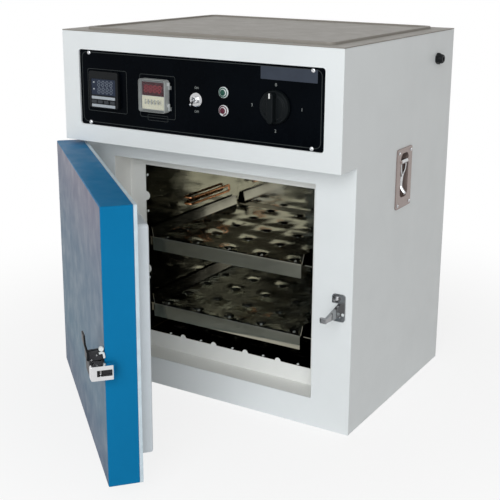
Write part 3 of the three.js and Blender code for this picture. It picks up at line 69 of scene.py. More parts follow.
class Finish:
    """A node tree round one Principled BSDF, with short calls for what repeats."""

    def __init__(self, name, colour, rough, metal=0.0, specular=0.5):
        self.material = bpy.data.materials.new(name)
        self.material.use_nodes = True
        self.tree = self.material.node_tree
        self.shader = self.tree.nodes["Principled BSDF"]
        self.colour = colour
        set_inputs(self.shader, {"Base Color": (*colour, 1.0), "Roughness": rough,
                                 "Metallic": metal, "Specular IOR Level": specular})

    def link(self, out, into):
        self.tree.links.new(out, into)

    def place(self, stretch=EVEN):
        """The point on the piece, in metres in the oven's frame at rest, stretched by axis."""
        source = self.tree.nodes.new("ShaderNodeTexCoord")
        mapping = self.tree.nodes.new("ShaderNodeMapping")
        set_inputs(mapping, {"Scale": stretch})
        self.link(source.outputs["Object"], mapping.inputs["Vector"])
        return mapping.outputs["Vector"]

    def noise(self, scale, detail, stretch=EVEN):
        made = self.tree.nodes.new("ShaderNodeTexNoise")
        set_inputs(made, {"Scale": scale, "Detail": detail, "Roughness": NOISE_ROUGHNESS})
        self.link(self.place(stretch), made.inputs["Vector"])
        return made.outputs["Fac"]

    def height(self):
        split = self.tree.nodes.new("ShaderNodeSeparateXYZ")
        self.link(self.place(), split.inputs[0])
        return split.outputs["Z"]

    def ramp(self, value, low, high, start=0.0, end=1.0):
        """Maps value from low..high onto start..end, held within them."""
        made = self.tree.nodes.new("ShaderNodeMapRange")
        set_inputs(made, {"From Min": low, "From Max": high, "To Min": start, "To Max": end})
        self.link(value, made.inputs["Value"])
        return made.outputs["Result"]

    def mix(self, factor, first, second):
        """Mixes two colours, each a tuple or another node's output."""
        made = self.tree.nodes.new("ShaderNodeMix")
        made.data_type = "RGBA"
        self.link(factor, made.inputs["Factor"])
        for key, value in (("A", first), ("B", second)):
            socket = [i for i in made.inputs if i.name == key and i.type == "RGBA"][0]
            if isinstance(value, tuple):
                socket.default_value = (*value, 1.0)
            else:
                self.link(value, socket)
        return [o for o in made.outputs if o.type == "RGBA"][0]

    def tint(self, factor, other):
        """Mixes another colour over the whole of what is there."""
        socket = self.shader.inputs["Base Color"]
        under = socket.links[0].from_socket if socket.links else self.colour
        self.link(self.mix(factor, under, other), socket)
        return self

    def mottle(self, scale, amount, stretch=EVEN):
        """Darkens the colour in soft patches."""
        dark = tuple(channel * (1 - amount) for channel in self.colour)
        return self.tint(self.ramp(self.noise(scale, MOTTLE_DETAIL, stretch), *MOTTLE_BAND), dark)

    def grain(self, scale, low, high, stretch=EVEN):
        """Varies the roughness from low to high."""
        value = self.ramp(self.noise(scale, GRAIN_DETAIL, stretch), *GRAIN_BAND, low, high)
        self.link(value, self.shader.inputs["Roughness"])
        return self

    def bump(self, scale, height, detail=2.0, stretch=EVEN):
        """Adds a fine relief; height is in metres."""
        made = self.tree.nodes.new("ShaderNodeBump")
        set_inputs(made, {"Distance": height, "Strength": 1.0})
        self.link(self.noise(scale, detail, stretch), made.inputs["Height"])
        socket = self.shader.inputs["Normal"]
        if socket.links:
            self.link(socket.links[0].from_socket, made.inputs["Normal"])
        self.link(made.outputs["Normal"], socket)
        return self


def white_paint(name, colour):
    made = Finish(name, colour, 0.45, specular=0.28)
    made.mottle(9, 0.03).grain(35, 0.40, 0.52)
    return made.bump(420, 0.00005).bump(6, 0.0006, detail=1.0).material


def blue_paint():
    made = Finish("blue_paint", (0.0040, 0.176, 0.385), 0.34, specular=0.04)
    made.mottle(7, 0.08).grain(30, 0.28, 0.42)
    return made.bump(380, 0.00005).bump(7, 0.0005, detail=1.0).material


def door_face_painted_reflection():
    """The blue paint under a painted reflection of the surroundings: pinkish grey at the top, darker and bluer at
    the foot, with faint vertical streaks.
    """
    made = Finish("door_face_painted_reflection", (0.190, 0.182, 0.255), 0.38, specular=0.08)
    height = made.height()
    made.tint(made.ramp(height, 0.46, 0.33), (0.095, 0.160, 0.240))
    made.tint(made.ramp(height, 0.33, 0.12), (0.080, 0.175, 0.255))
    made.tint(made.ramp(height, 0.14, 0.03), (0.040, 0.085, 0.165))
    made.tint(made.ramp(made.noise(4, 2.0, (1, 1, 0.4)), 0.40, 0.75, 0, 0.3),
              (0.085, 0.150, 0.250))
    return made.grain(30, 0.32, 0.46).bump(380, 0.00005).material


def black_paint():
    made = Finish("panel_black", (0.0016, 0.0026, 0.0042), 0.26, specular=0.02)
    made.mottle(14, 0.3).grain(60, 0.2, 0.34)
    return made.bump(500, 0.00002).material


def polished_steel(name, tone, rough, wave, red, blue):
    """A mottled mirror; wave is the depth of its slow dents, red and blue are shares of green."""
    made = Finish(name, (tone * red, tone, tone * blue), rough[0], metal=1.0)
    made.mottle(5, 0.4, (1, 0.5, 1)).grain(18, *rough)
    return made.bump(8, wave, detail=1.0).bump(160, 0.00002).material


def satin_steel(name, colour, metal):
    brushed = (1, 1, 12)
    made = Finish(name, colour, 0.34, metal=metal)
    made.mottle(8, 0.10).grain(90, 0.28, 0.42, brushed)
    return made.bump(500, 0.00002, stretch=brushed).material


def zinc():
    made = Finish("zinc_plate", (0.45, 0.46, 0.47), 0.45, metal=1.0)
    return made.mottle(60, 0.25).grain(50, 0.38, 0.55).bump(300, 0.00006).material


def chrome(name, tone):
    made = Finish(name, (tone, tone * 1.01, tone * 1.03), 0.12, metal=1.0)
    return made.mottle(40, 0.10).grain(70, 0.08, 0.18).bump(90, 0.00006).material


def cast_metal():
    made = Finish("cast_metal", (0.020, 0.020, 0.023), 0.45, metal=0.2, specular=0.3)
    return made.mottle(90, 0.3).grain(120, 0.38, 0.55).bump(700, 0.00010, detail=4).material


def plastic(name, colour, rough, specular=0.3):
    made = Finish(name, colour, rough, specular=specular)
    made.mottle(60, 0.10).grain(90, rough * 0.85, rough * 1.2)
    return made.bump(900, 0.00003).material


def rubber():
    made = Finish("gasket_silicone", (0.60, 0.70, 0.76), 0.62, specular=0.2)
    return made.mottle(45, 0.12).grain(70, 0.55, 0.72).bump(350, 0.00015, detail=4).material


def copper():
    made = Finish("bare_copper", (0.86, 0.40, 0.20), 0.2, metal=1.0)
    return made.mottle(70, 0.3).grain(60, 0.16, 0.3).bump(300, 0.00003).material


def wool():
    made = Finish("mineral_wool", (0.55, 0.47, 0.26), 0.95)
    return made.mottle(120, 0.4).bump(260, 0.002, detail=8).material


def heater_sheath():
    made = Finish("heater_sheath", (0.08, 0.075, 0.07), 0.55, metal=0.6)
    return made.mottle(50, 0.4).grain(80, 0.45, 0.7).bump(400, 0.0001).material


def lens(name, colour, rough, specular, alpha=1.0):
    made = Finish(name, colour, rough, specular=specular)
    set_inputs(made.shader, {"Alpha": alpha})
    return made.mottle(80, 0.15).bump(250, 0.00005).material


def lit(name, colour, glow=0.0):
    """Print, enamel or a mark; glow is a painted glow, how much light of its own it gives though it is no lamp."""
    made = Finish(name, colour, 0.5, specular=0.2)
    set_inputs(made.shader, {"Emission Color": (*colour, 1.0), "Emission Strength": glow})
    return made.mottle(200, 0.12).grain(90, 0.45, 0.6).bump(900, 0.00001).material


M = {
    "white": white_paint("white_paint", (0.80, 0.825, 0.83)),
    # top cover: the white paint darkened to grey-brown, a painted dark reflection on the top
    "cover_painted_reflection": white_paint("cover_painted_reflection", (0.30, 0.28, 0.25)),
    # recess: white paint brighter than the cabinet's own, painted light where the door shades the recess
    "recess_painted_light": white_paint("recess_painted_light", (0.86, 0.86, 0.83)),
    "blue": blue_paint(),
    # door face: painted reflection over the blue paint
    "door_face_reflection": door_face_painted_reflection(),
    "panel": black_paint(),
    "chamber": polished_steel("chamber_steel", 0.33, (0.06, 0.14), 0.0016, 1.04, 0.82),
    "tray": polished_steel("tray_steel", 0.60, (0.04, 0.11), 0.0016, 0.97, 0.98),
    # tray lip and side: darker copies of the tray steel, painted shade; the lip's warm tint is a painted
    # reflection
    "tray_lip_shade": polished_steel("tray_lip_steel_painted_shade", 0.42, (0.08, 0.18), 0.0022, 1.04, 0.80),
    "tray_side_shade": polished_steel("tray_side_steel_painted_shade", 0.24, (0.06, 0.16), 0.0022, 1.02, 0.90),
    "curl": chrome("curl_chrome", 0.12),
    "plug": satin_steel("plug_steel", (0.66, 0.71, 0.75), 0.2),
    "plate": satin_steel("plate_steel", (0.33, 0.265, 0.245), 0.6),
    "zinc": zinc(),
    "chrome": chrome("chrome", 0.72),
    "dull_chrome": chrome("dull_chrome", 0.30),
    "grip_chrome": chrome("grip_chrome", 0.55),
    "cast": cast_metal(),
    "black": plastic("black_plastic", (0.006, 0.007, 0.008), 0.38, 0.15),
    "knob": plastic("knob_plastic", (0.006, 0.008, 0.009), 0.36, 0.08),
    "grey": plastic("grey_plastic", (0.36, 0.38, 0.38), 0.45),
    "key": plastic("key_rubber", (0.030, 0.034, 0.040), 0.5),
    "cream": plastic("cream_plastic", (0.66, 0.64, 0.50), 0.45),
    "pane": lens("clear_pane", (0.75, 0.80, 0.83), 0.05, 0.2, alpha=0.03),
    "rim": lens("clear_rim", (0.56, 0.58, 0.57), 0.12, 0.3, alpha=0.72),
    "green": lens("green_lens", (0.014, 0.080, 0.055), 0.35, 0.2),
    "red": lens("red_lens", (0.10, 0.016, 0.032), 0.35, 0.2),
    "silver": plastic("silvered_ring", (0.74, 0.78, 0.78), 0.3, 0.5),
    "gasket": rubber(),
    "copper": copper(),
    "wool": wool(),
    "heater": heater_sheath(),
    "print": lit("panel_print", (0.040, 0.046, 0.046)),
    "legend": lit("panel_legend", (0.30, 0.32, 0.31)),
    "nameplate": plastic("blank_plate", (0.044, 0.053, 0.072), 0.4, 0.1),
    "display": plastic("display_glass", (0.026, 0.034, 0.056), 0.3, 0.1),
    "digit": lit("unlit_digit", (0.16, 0.18, 0.22)),
    "strip": lit("pale_strip", (0.42, 0.45, 0.48)),
    "red_window": plastic("red_window", (0.040, 0.001, 0.004), 0.3, 0.05),
    # red digits: a faint painted glow of their own
    "red_digit_painted_glow": lit("red_digit_painted_glow", (0.26, 0.008, 0.018), 0.15),
    "ink": lit("dark_ink", (0.02, 0.02, 0.02)),
    "pointer": lit("pointer_white", (0.80, 0.80, 0.78)),
}

# Meshes

CREASE, SHEET_CREASE, BAR_CREASE = 32, 40, 50  # degrees; a sharper corner isn't smoothed over
BEVEL_FROM = 28                                # degrees; a sharper corner is rounded
FLAT_WITHIN = 0.6                              # degrees; flatter triangles are joined up


def new_object(name, mesh):
    made = bpy.data.objects.new(name, mesh)
    bpy.context.scene.collection.objects.link(made)
    return made


def smooth_by_angle(mesh, degrees=CREASE):
    """Smooth faces with a crease wherever two of them meet at more than the angle."""
    form = bmesh.new()
    form.from_mesh(mesh)
    limit = math.radians(degrees)
    for face in form.faces:
        face.smooth = True
    for edge in form.edges:
        edge.smooth = len(edge.link_faces) == 2 and edge.calc_face_angle(0) < limit
    form.to_mesh(mesh)
    form.free()


def evaluated_mesh(made):
    bpy.context.view_layer.update()
    graph = bpy.context.evaluated_depsgraph_get()
    return bpy.data.meshes.new_from_object(made.evaluated_get(graph))


def apply_modifiers(made):
    mesh = evaluated_mesh(made)
    made.modifiers.clear()
    made.data = mesh


def finish_piece(made, material, body):
    made.data.materials.clear()
    made.data.materials.append(M[material])
    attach(made, body)
    return made


def skin(node, material, width, segments=2, reshape=None):
    """A copy of a CAD node with its edges rounded to a width in mm, which stands for it."""
    mesh = nodes[node].data.copy()
    if reshape:
        reshape(mesh)
    form = bmesh.new()
    form.from_mesh(mesh)
    bmesh.ops.remove_doubles(form, verts=form.verts, dist=1e-6)
    bmesh.ops.dissolve_limit(form, angle_limit=math.radians(FLAT_WITHIN), verts=form.verts,
                             edges=form.edges)
    form.to_mesh(mesh)
    form.free()
    made = new_object(node + "_finish", mesh)
    rounding = made.modifiers.new("rounding", "BEVEL")
    rounding.width, rounding.segments = width * MM, segments
    rounding.limit_method, rounding.angle_limit = "ANGLE", math.radians(BEVEL_FROM)
    rounding.miter_outer = "MITER_ARC"
    apply_modifiers(made)
    smooth_by_angle(made.data)
    level = made.modifiers.new("level", "WEIGHTED_NORMAL")
    level.mode, level.weight, level.keep_sharp = "FACE_AREA", 100, True
    apply_modifiers(made)
    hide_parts(node)
    return finish_piece(made, material, body_of[node])


def paint_node(node, material):
    """A CAD node that keeps its own mesh and gets a finish."""
    mesh = nodes[node].data
    if not mesh.materials:
        mesh.materials.append(None)
    for slot in nodes[node].material_slots:
        slot.material = M[material]


def paint_faces(made, material, chosen):
    """Gives another finish to the faces that the test picks by their middle and normal."""
    made.data.materials.append(M[material])
    for face in made.data.polygons:
        if chosen(face.center, face.normal):
            face.material_index = len(made.data.materials) - 1


# For each side of the oven, the directions of local X and local Y of a form that faces out of it
FACING = {"front": ((1, 0, 0), (0, 0, 1)), "back": ((-1, 0, 0), (0, 0, 1)),
          "right": ((0, 1, 0), (0, 0, 1)), "left": ((0, -1, 0), (0, 0, 1)),
          "top": ((1, 0, 0), (0, 1, 0))}


def at(x, y, z, facing="front"):
    """A place in millimetres. Local Z points out of the named side, local Y is up."""
    across, upward = (Vector(axis) for axis in FACING[facing])
    turn = Matrix((across, upward, across.cross(upward))).transposed().to_4x4()
    return Matrix.Translation(Vector((x, y, z)) * MM) @ turn


def tenths(place):
    """A place given in metres, in millimetres and rounded to one decimal."""
    return Vector([round(value / MM, 1) for value in place])


# The door at rest, from where it is shut. Its joint's axis points down and its range starts
# at shut, so the start of the range is also the turn about Z from shut to rest.
HINGE = tenths(joints["door_hinge"]["pos_m"]) * MM
AJAR_DEGREES = joints["door_hinge"]["range_deg"][0]
AJAR = (Matrix.Translation(HINGE) @ Matrix.Rotation(math.radians(AJAR_DEGREES), 4, "Z")
        @ Matrix.Translation(-HINGE))
SHUT = AJAR.inverted()


def on_door(x, y, z, facing="front"):
    """A place on the shut door, carried to where the door stands."""
    return AJAR @ at(x, y, z, facing)


def box(node):
    """A CAD node's lowest and highest corners, in millimetres."""
    low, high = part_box(node)
    return tenths(low), tenths(high)


def middle(node):
    low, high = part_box(node)
    return tenths((low + high) / 2)


def box_when_shut(node):
    """The corners of a node on the door as they are with the door shut, in millimetres."""
    points = [SHUT @ vertex.co for vertex in nodes[node].data.vertices]
    return [tenths([pick(point[axis] for point in points) for axis in range(3)])
            for pick in (min, max)]


def settle(name, form, place, material, body, crease=CREASE):
    """Turns a form drawn in millimetres into a piece."""
    form.transform(place @ Matrix.Diagonal((MM, MM, MM, 1)))
    bmesh.ops.recalc_face_normals(form, faces=form.faces)
    mesh = bpy.data.meshes.new(name)
    form.to_mesh(mesh)
    form.free()
    smooth_by_angle(mesh, crease)
    return finish_piece(new_object(name, mesh), material, body)


def loft(form, loops, closed=True):
    """Joins loops of points, each of the same count or a single point, into a skin."""
    rows = [[form.verts.new(p) for p in loop] for loop in loops]
    for low, high in zip(rows, rows[1:]):
        count = max(len(low), len(high))
        for i in range(count):
            j = (i + 1) % count
            corners = [low[i % len(low)], low[j % len(low)], high[j % len(high)],
                       high[i % len(high)]]
            unique = list(dict.fromkeys(corners))
            if len(unique) > 2:
                form.faces.new(unique)
    if closed:
        for row in (rows[0], rows[-1]):
            if len(row) > 2:
                form.faces.new(row)
    return rows


def circle(radius, height, steps, wave=None):
    turns = [2 * math.pi * i / steps for i in range(steps)]
    return [(radius * math.cos(t), radius * math.sin(t), height + (wave(t) if wave else 0))
            for t in turns]


def lathe(profile, steps):
    """A closed turned form; the profile is (radius, height) pairs from the foot up."""
    form = bmesh.new()
    loft(form, [circle(r, h, steps) if r > 0 else [(0, 0, h)] for r, h in profile])
    return form


def rounded(width, height, radius, steps=5):
    corners = [(1, 1, 0), (-1, 1, 1), (-1, -1, 2), (1, -1, 3)]
    return [(sx * (width / 2 - radius) + radius * math.cos(math.pi / 2 * (quarter + i / steps)),
             sy * (height / 2 - radius) + radius * math.sin(math.pi / 2 * (quarter + i / steps)))
            for sx, sy, quarter in corners for i in range(steps + 1)]


def slab(points, thickness, edge=0.0, form=None):
    """A flat plate with its front edge eased."""
    form = form or bmesh.new()
    centre = Vector((sum(p[0] for p in points), sum(p[1] for p in points))) / len(points)
    loops = [[(*p, 0.0) for p in points], [(*p, thickness - edge) for p in points]]
    if edge:
        eased = []
        for p in points:
            away = Vector(p) - centre
            eased.append((p[0] - edge * math.copysign(min(1, abs(away.x)), away.x),
                          p[1] - edge * math.copysign(min(1, abs(away.y)), away.y), thickness))
        loops.append(eased)
    loft(form, loops)
    return form


def plate(name, size, thickness, edge, place, material, body="cabinet"):
    """A rounded plate; size is its width, height and corner radius."""
    return settle(name, slab(rounded(*size), thickness, edge), place, material, body)


PRINT = 0.1  # how far a printed line stands out


def frame_line(width, height, radius, line):
    """A thin printed line round a rounded rectangle."""
    form = bmesh.new()
    outer = rounded(width, height, radius)
    inner = rounded(width - 2 * line, height - 2 * line, max(radius - line, 0.2))
    loops = [[(*p, z) for p in points] for points, z in
             ((outer, 0), (outer, PRINT), (inner, PRINT), (inner, 0))]
    rows = loft(form, loops, closed=False)
    for i in range(len(outer)):
        j = (i + 1) % len(outer)
        form.faces.new((rows[-1][i], rows[-1][j], rows[0][j], rows[0][i]))
    return form


# Where each bar of a seven-bar number lies, in half widths and half heights, and which are lit
BARS = {"a": (0, 1), "b": (1, 0.5), "c": (1, -0.5), "d": (0, -1), "e": (-1, -0.5),
        "f": (-1, 0.5), "g": (0, 0)}
LIT = {"1": "bc", "2": "abged", "4": "fgbc", "8": "abcdefg"}
BAR_REACH, BAR_WIDTH, BAR_GAP, BAR_LEAN = 0.27, 0.085, 0.7, 0.12


def digits(text, height, pitch, thickness=0.12):
    """A row of leaning seven-bar numbers, centred."""
    form = bmesh.new()
    half, reach, bar = height / 2, height * BAR_REACH, height * BAR_WIDTH
    for place, mark in enumerate(text):
        shift = (place - (len(text) - 1) / 2) * pitch
        for segment in LIT[mark]:
            x, y = BARS[segment]
            flat = segment in "adg"
            length = (reach if flat else half / 2) - bar * BAR_GAP
            shape = [(length, 0), (length - bar, bar), (bar - length, bar), (-length, 0),
                     (bar - length, -bar), (length - bar, -bar)]
            if not flat:
                shape = [(q, p) for p, q in shape]
            points = [(p + x * reach + shift + (q + y * half) * BAR_LEAN, q + y * half)
                      for p, q in shape]
            slab(points, thickness, form=form)
    return form


def wrapped(form, radius):
    """Bends a flat form round a wheel whose axis runs across the page."""
    for vertex in form.verts:
        turn, out = vertex.co.y / radius, radius + vertex.co.z
        vertex.co.y, vertex.co.z = out * math.sin(turn), out * math.cos(turn) - radius
    return form


def curve_form(name, curve, merge):
    """The mesh that a curve draws, with points nearer than merge joined."""
    draft = new_object(name + "_draft", curve)
    mesh = evaluated_mesh(draft)
    bpy.data.objects.remove(draft)
    form = bmesh.new()
    form.from_mesh(mesh)
    bmesh.ops.remove_doubles(form, verts=form.verts, dist=merge)
    return form


def words(name, text, size, place):
    """Raised print in the plain built-in face."""
    curve = bpy.data.curves.new(name, "FONT")
    curve.body, curve.size, curve.extrude = text, size, 0.05
    curve.align_x, curve.align_y = "CENTER", "CENTER"
    form = curve_form(name, curve, 1e-4)
    form.transform(Matrix.Translation((0, 0, curve.extrude)))
    return settle(name, form, place, "legend", "cabinet")


def tube(name, points, radius, material, body, move=IN_PLACE):
    """A round bar along a smooth line through points in millimetres."""
    curve = bpy.data.curves.new(name, "CURVE")
    curve.dimensions = "3D"
    curve.bevel_depth, curve.bevel_resolution, curve.use_fill_caps = radius * MM, 4, True
    line = curve.splines.new("NURBS")
    line.points.add(len(points) - 1)
    for knot, point in zip(line.points, points):
        knot.co = (*(Vector(point) * MM), 1)
    line.order_u, line.use_endpoint_u, line.resolution_u = 3, True, 8
    form = curve_form(name, curve, 1e-7)
    form.transform(Matrix.Scale(1 / MM, 4))
    return settle(name, form, move, material, body, BAR_CREASE)


def screw(name, place, radius, body="cabinet", material="chrome"):
    """A domed head with a crossed recess."""
    def ring(across, height, sunk=0.0):
        return circle(radius * across, radius * height, 32,
                      lambda turn: -radius * sunk if abs(math.sin(2 * turn)) < 0.42 else 0.0)

    form = bmesh.new()
    loft(form, [ring(0.96, 0), ring(1, 0.18), ring(0.86, 0.42), ring(0.62, 0.56),
                ring(0.56, 0.58, 0.12), ring(0.2, 0.6, 0.3), [(0, 0, radius * 0.28)]])
    return settle(name, form, place, material, body)


def rivet(name, place, radius):
    shape = ((1, 0), (1, 0.15), (0.8, 0.5), (0.45, 0.66), (0.3, 0.5), (0, 0.45))
    form = lathe([(radius * across, radius * height) for across, height in shape], 20)
    return settle(name, form, place, "silver", "cabinet")


# Painted sheets

for node in ("right_side_panel", "left_side_panel", "back_panel", "front_frame", "head_fascia",
             "head_floor"):
    skin(node, "white", 0.6)
# the recess gets the brightened white, painted light
skin("door_recess", "recess_painted_light", 0.6)
# the top cover gets the grey-brown painted dark reflection
skin("top_cover", "cover_painted_reflection", 0.5)
back = box("back_panel")[1]
for column, x in enumerate((18 - back.x, -90, 90, back.x - 18)):
    for row, z in enumerate((18, 334, 650)):
        screw(f"back_screw_{row + 1}_{column + 1}", at(x, back.y, z, "back"), 3.2,
              material="zinc")

# Chamber

for node in ("chamber_left_wall", "chamber_right_wall", "chamber_back_wall", "chamber_roof",
             "chamber_floor", "upper_left_runner", "upper_right_runner", "lower_left_runner",
             "lower_right_runner"):
    paint_node(node, "chamber")
for node in ("base_pan", "heater_pan"):
    paint_node(node, "zinc")
paint_node("insulation", "wool")
paint_node("heater_element", "heater")
RIVET, RIVET_INSET = 2.4, 4.2
wall_x, floor_z = box("chamber_left_wall")[1].x, box("chamber_floor")[1].z
rivet_y = box("chamber_floor")[0].y + RIVET_INSET
for index, x in enumerate((-131, -60.5, 10.7, 77.9, 151)):
    rivet(f"floor_rivet_{index + 1}", at(x, rivet_y, floor_z, "top"), RIVET)
for index, z in enumerate((394, 323.8, 190.5)):
    rivet(f"wall_rivet_{index + 1}", at(wall_x, rivet_y, z, "right"), RIVET)

# The bulb of the thermostat: out of the wall, back along it, round a bend and home again below
BULB_X, BULB_LOW, BULB_HIGH, BULB_FRONT, BULB_BACK = -171, 309, 322, -22, 118
bulb_run = [(wall_x + 0.3, BULB_FRONT), (-175, BULB_FRONT), (BULB_X, BULB_FRONT + 3),
            (BULB_X, BULB_FRONT + 12), (BULB_X, (BULB_FRONT + BULB_BACK) / 2),
            (BULB_X, BULB_BACK - 9), (BULB_X, BULB_BACK)]
hairpin = tube("thermostat_hairpin",
               [(*point, BULB_HIGH) for point in bulb_run]
               + [(BULB_X, BULB_BACK + 1, (BULB_LOW + BULB_HIGH) / 2)]
               + [(*point, BULB_LOW) for point in reversed(bulb_run)],
               2.4, "copper", "cabinet")
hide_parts("thermostat_bulb")

# Trays: a grid of cells, each with a pressed hole, and folded edges

HOLES, PITCH_X, PITCH_Y = 5, 70, 68
DIMPLE = ((5.0, -4.1), (5.4, -4.0), (6.2, -3.3), (7.4, -2.2), (8.8, -1.1), (10.3, -0.25),
          (11.2, 0.12), (12.2, 0.2), (13.2, 0.0))
SIDE_FOLD = ((0.0, 0.0), (0.55, 0.35), (0.95, 1.1), (4.8, 19.4), (5.0, 20.0))
LIP_FOLD = ((0.0, 0.0), (-0.5, -0.25), (-0.8, -0.9), (-0.8, -24.2), (-0.8, -25.0))
CELL_STEPS = 8
SHEET = 1.0


def holes(centre, pitch):
    return [centre + (i - (HOLES - 1) / 2) * pitch for i in range(HOLES)]


def cell_marks(low, high, centres):
    """The sheet's two edges, and the lines halfway between its holes."""
    return [low, *((a + b) / 2 for a, b in zip(centres, centres[1:])), high]


def cell_edge(left, right, front, back):
    share = [i / CELL_STEPS for i in range(CELL_STEPS)]
    return ([(left + (right - left) * t, front) for t in share]
            + [(right, front + (back - front) * t) for t in share]
            + [(right + (left - right) * t, back) for t in share]
            + [(left, back + (front - back) * t) for t in share])


def stops(marks):
    """Where the cells' points fall along one edge of the tray."""
    return [a + (b - a) * k / CELL_STEPS for a, b in zip(marks, marks[1:])
            for k in range(CELL_STEPS)] + [marks[-1]]


def fold(form, rails):
    rows = [[form.verts.new(p) for p in rail] for rail in rails]
    for a, b in zip(rows, rows[1:]):
        for k in range(len(a) - 1):
            form.faces.new((a[k], a[k + 1], b[k + 1], b[k]))


def tray(name):
    low, high = box(name)
    fold_out, fold_up = SIDE_FOLD[-1]
    holes_x, holes_y = holes(middle(name).x, PITCH_X), holes(middle(name).y, PITCH_Y)
    marks_x = cell_marks(low.x + fold_out, high.x - fold_out, holes_x)
    marks_y = cell_marks(low.y, high.y, holes_y)
    form = bmesh.new()
    for left, right, cx in zip(marks_x, marks_x[1:], holes_x):
        for front, back, cy in zip(marks_y, marks_y[1:], holes_y):
            edge = cell_edge(left, right, front, back)
            turns = [math.atan2(y - cy, x - cx) for x, y in edge]
            loops = [[(cx + r * math.cos(t), cy + r * math.sin(t), z) for t in turns]
                     for r, z in DIMPLE]
            loft(form, loops + [[(x, y, 0) for x, y in edge]], closed=False)
    for side, x in ((-1, marks_x[0]), (1, marks_x[-1])):
        fold(form, [[(x + side * out, y, up) for out, up in SIDE_FOLD] for y in stops(marks_y)])
    fold(form, [[(x, low.y + out, up) for out, up in LIP_FOLD] for x in stops(marks_x)])
    bmesh.ops.remove_doubles(form, verts=form.verts, dist=0.01)
    form.transform(Matrix.Translation((0, 0, high.z - fold_up)))
    made = settle(name, form, IN_PLACE, "tray", body_of[name], SHEET_CREASE)
    sheet = made.modifiers.new("sheet", "SOLIDIFY")
    sheet.thickness, sheet.offset = SHEET * MM, -1.0
    apply_modifiers(made)
    smooth_by_angle(made.data, SHEET_CREASE)
    # the tray's sides and front lip get darker copies of its steel: painted shade, with a warm painted reflection
    # on the lip
    paint_faces(made, "tray_side_shade", lambda place, normal: abs(normal.x) > 0.8)
    paint_faces(made, "tray_lip_shade", lambda place, normal: abs(normal.y) > 0.8
                and place.y < (low.y + 2) * MM)
    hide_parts(name)


tray("upper_tray")
tray("lower_tray")

# Door

shell = skin("door_shell", "blue", 0.8, 3)
door_out = (AJAR.to_3x3() @ Vector((0, -1, 0))).normalized()
# the door's outer face gets the painted reflection
paint_faces(shell, "door_face_reflection", lambda place, normal: normal.dot(door_out) > 0.93)
skin("door_inner_pan", "plug", 0.8)
skin("door_gasket", "gasket", 1.2)
paint_node("door_insulation", "wool")
for node in ("upper_hinge_fixed_leaf", "lower_hinge_fixed_leaf", "upper_hinge_door_leaf",
             "lower_hinge_door_leaf"):
    skin(node, "zinc", 0.3)

# Latch and strike, in millimetres with the door shut

pivot = tenths(SHUT @ Vector(joints["latch_lever_pivot"]["pos_m"]))
housing_low, housing_high = box_when_shut("latch_housing")
bolt_low, bolt_high = box_when_shut("latch_bolt")
strike_low, strike_high = box("latch_strike")
STRIKE_ROOT = 3.0                                  # how deep the strike sits in the frame
strike_y = strike_high.y - STRIKE_ROOT             # the face of its plate


def block(low, high):
    return [[(x, low[1], low[2]), (x, high[1], low[2]), (x, high[1], high[2]),
             (x, low[1], high[2])] for x in (low[0], high[0])]


def carve(mesh, blocks, move):
    """Cuts blocks, each a list of loops in millimetres, out of a copy of a CAD mesh."""
    form = bmesh.new()
    for loops in blocks:
        loft(form, loops)
    form.transform(move @ Matrix.Scale(MM, 4))
    bmesh.ops.triangulate(form, faces=form.faces)
    bmesh.ops.recalc_face_normals(form, faces=form.faces)
    tool_mesh = bpy.data.meshes.new("carve_tool")
    form.to_mesh(tool_mesh)
    form.free()
    tool = new_object("carve_tool", tool_mesh)
    draft = new_object("carve_draft", mesh)
    cut = draft.modifiers.new("carve", "BOOLEAN")
    cut.object, cut.operation, cut.solver = tool, "DIFFERENCE", "EXACT"
    apply_modifiers(draft)
    form = bmesh.new()
    form.from_mesh(draft.data)
    form.to_mesh(mesh)
    form.free()
    bpy.data.objects.remove(draft)
    bpy.data.objects.remove(tool)


def housing_slope(mesh):
    """Takes the housing's top down to the slope behind its pivot."""
    xs, above, loops = (231.5, 221.5, 217.5, 211.5, 190), 262, []
    for y, heights in ((-290, (244.5, 246, 245.5, 236.8, 236.8)),
                       (-254, (250, 249, 248, 238.5, 238.5))):
        slope = [(x, y, z) for x, z in zip(xs, heights)]
        loops.append(slope + [(xs[-1], y, above), (xs[0], y, above)])
    carve(mesh, [loops], AJAR)


def round_bolt(mesh):
    """Rounds the four corners of the bolt's flat head."""
    radius, clear, steps, blocks = 3.6, 8, 6, []
    through = (bolt_high.x - 10.5, bolt_high.x + 2.5)
    for side, y in ((-1, bolt_low.y + radius), (1, bolt_high.y - radius)):
        for up, z in ((-1, bolt_low.z + radius), (1, bolt_high.z - radius)):
            arc = [(y + side * radius * math.cos(t), z + up * radius * math.sin(t))
                   for t in (math.pi / 2 * k / steps for k in range(steps + 1))]
            arc += [(y, z + up * clear), (y + side * clear, z + up * clear), (y + side * clear, z)]
            blocks.append([[(x, *point) for point in arc] for x in through])
    carve(mesh, blocks, AJAR)


def strike_detail(mesh):
    """Opens the plate behind the rib, and presses two grooves in the rib."""
    window = block((243, -213, 217.5), (255.6, -204, 238.2))
    dish = block((243, -213, 238.6), (262, strike_y + 0.02, 256))
    grooves = [block((259.3, y, 214), (263, y + 2.2, top)) for y, top in
               ((-241.2, 234), (-226.2, 236))]
    carve(mesh, [window, dish, *grooves], IN_PLACE)


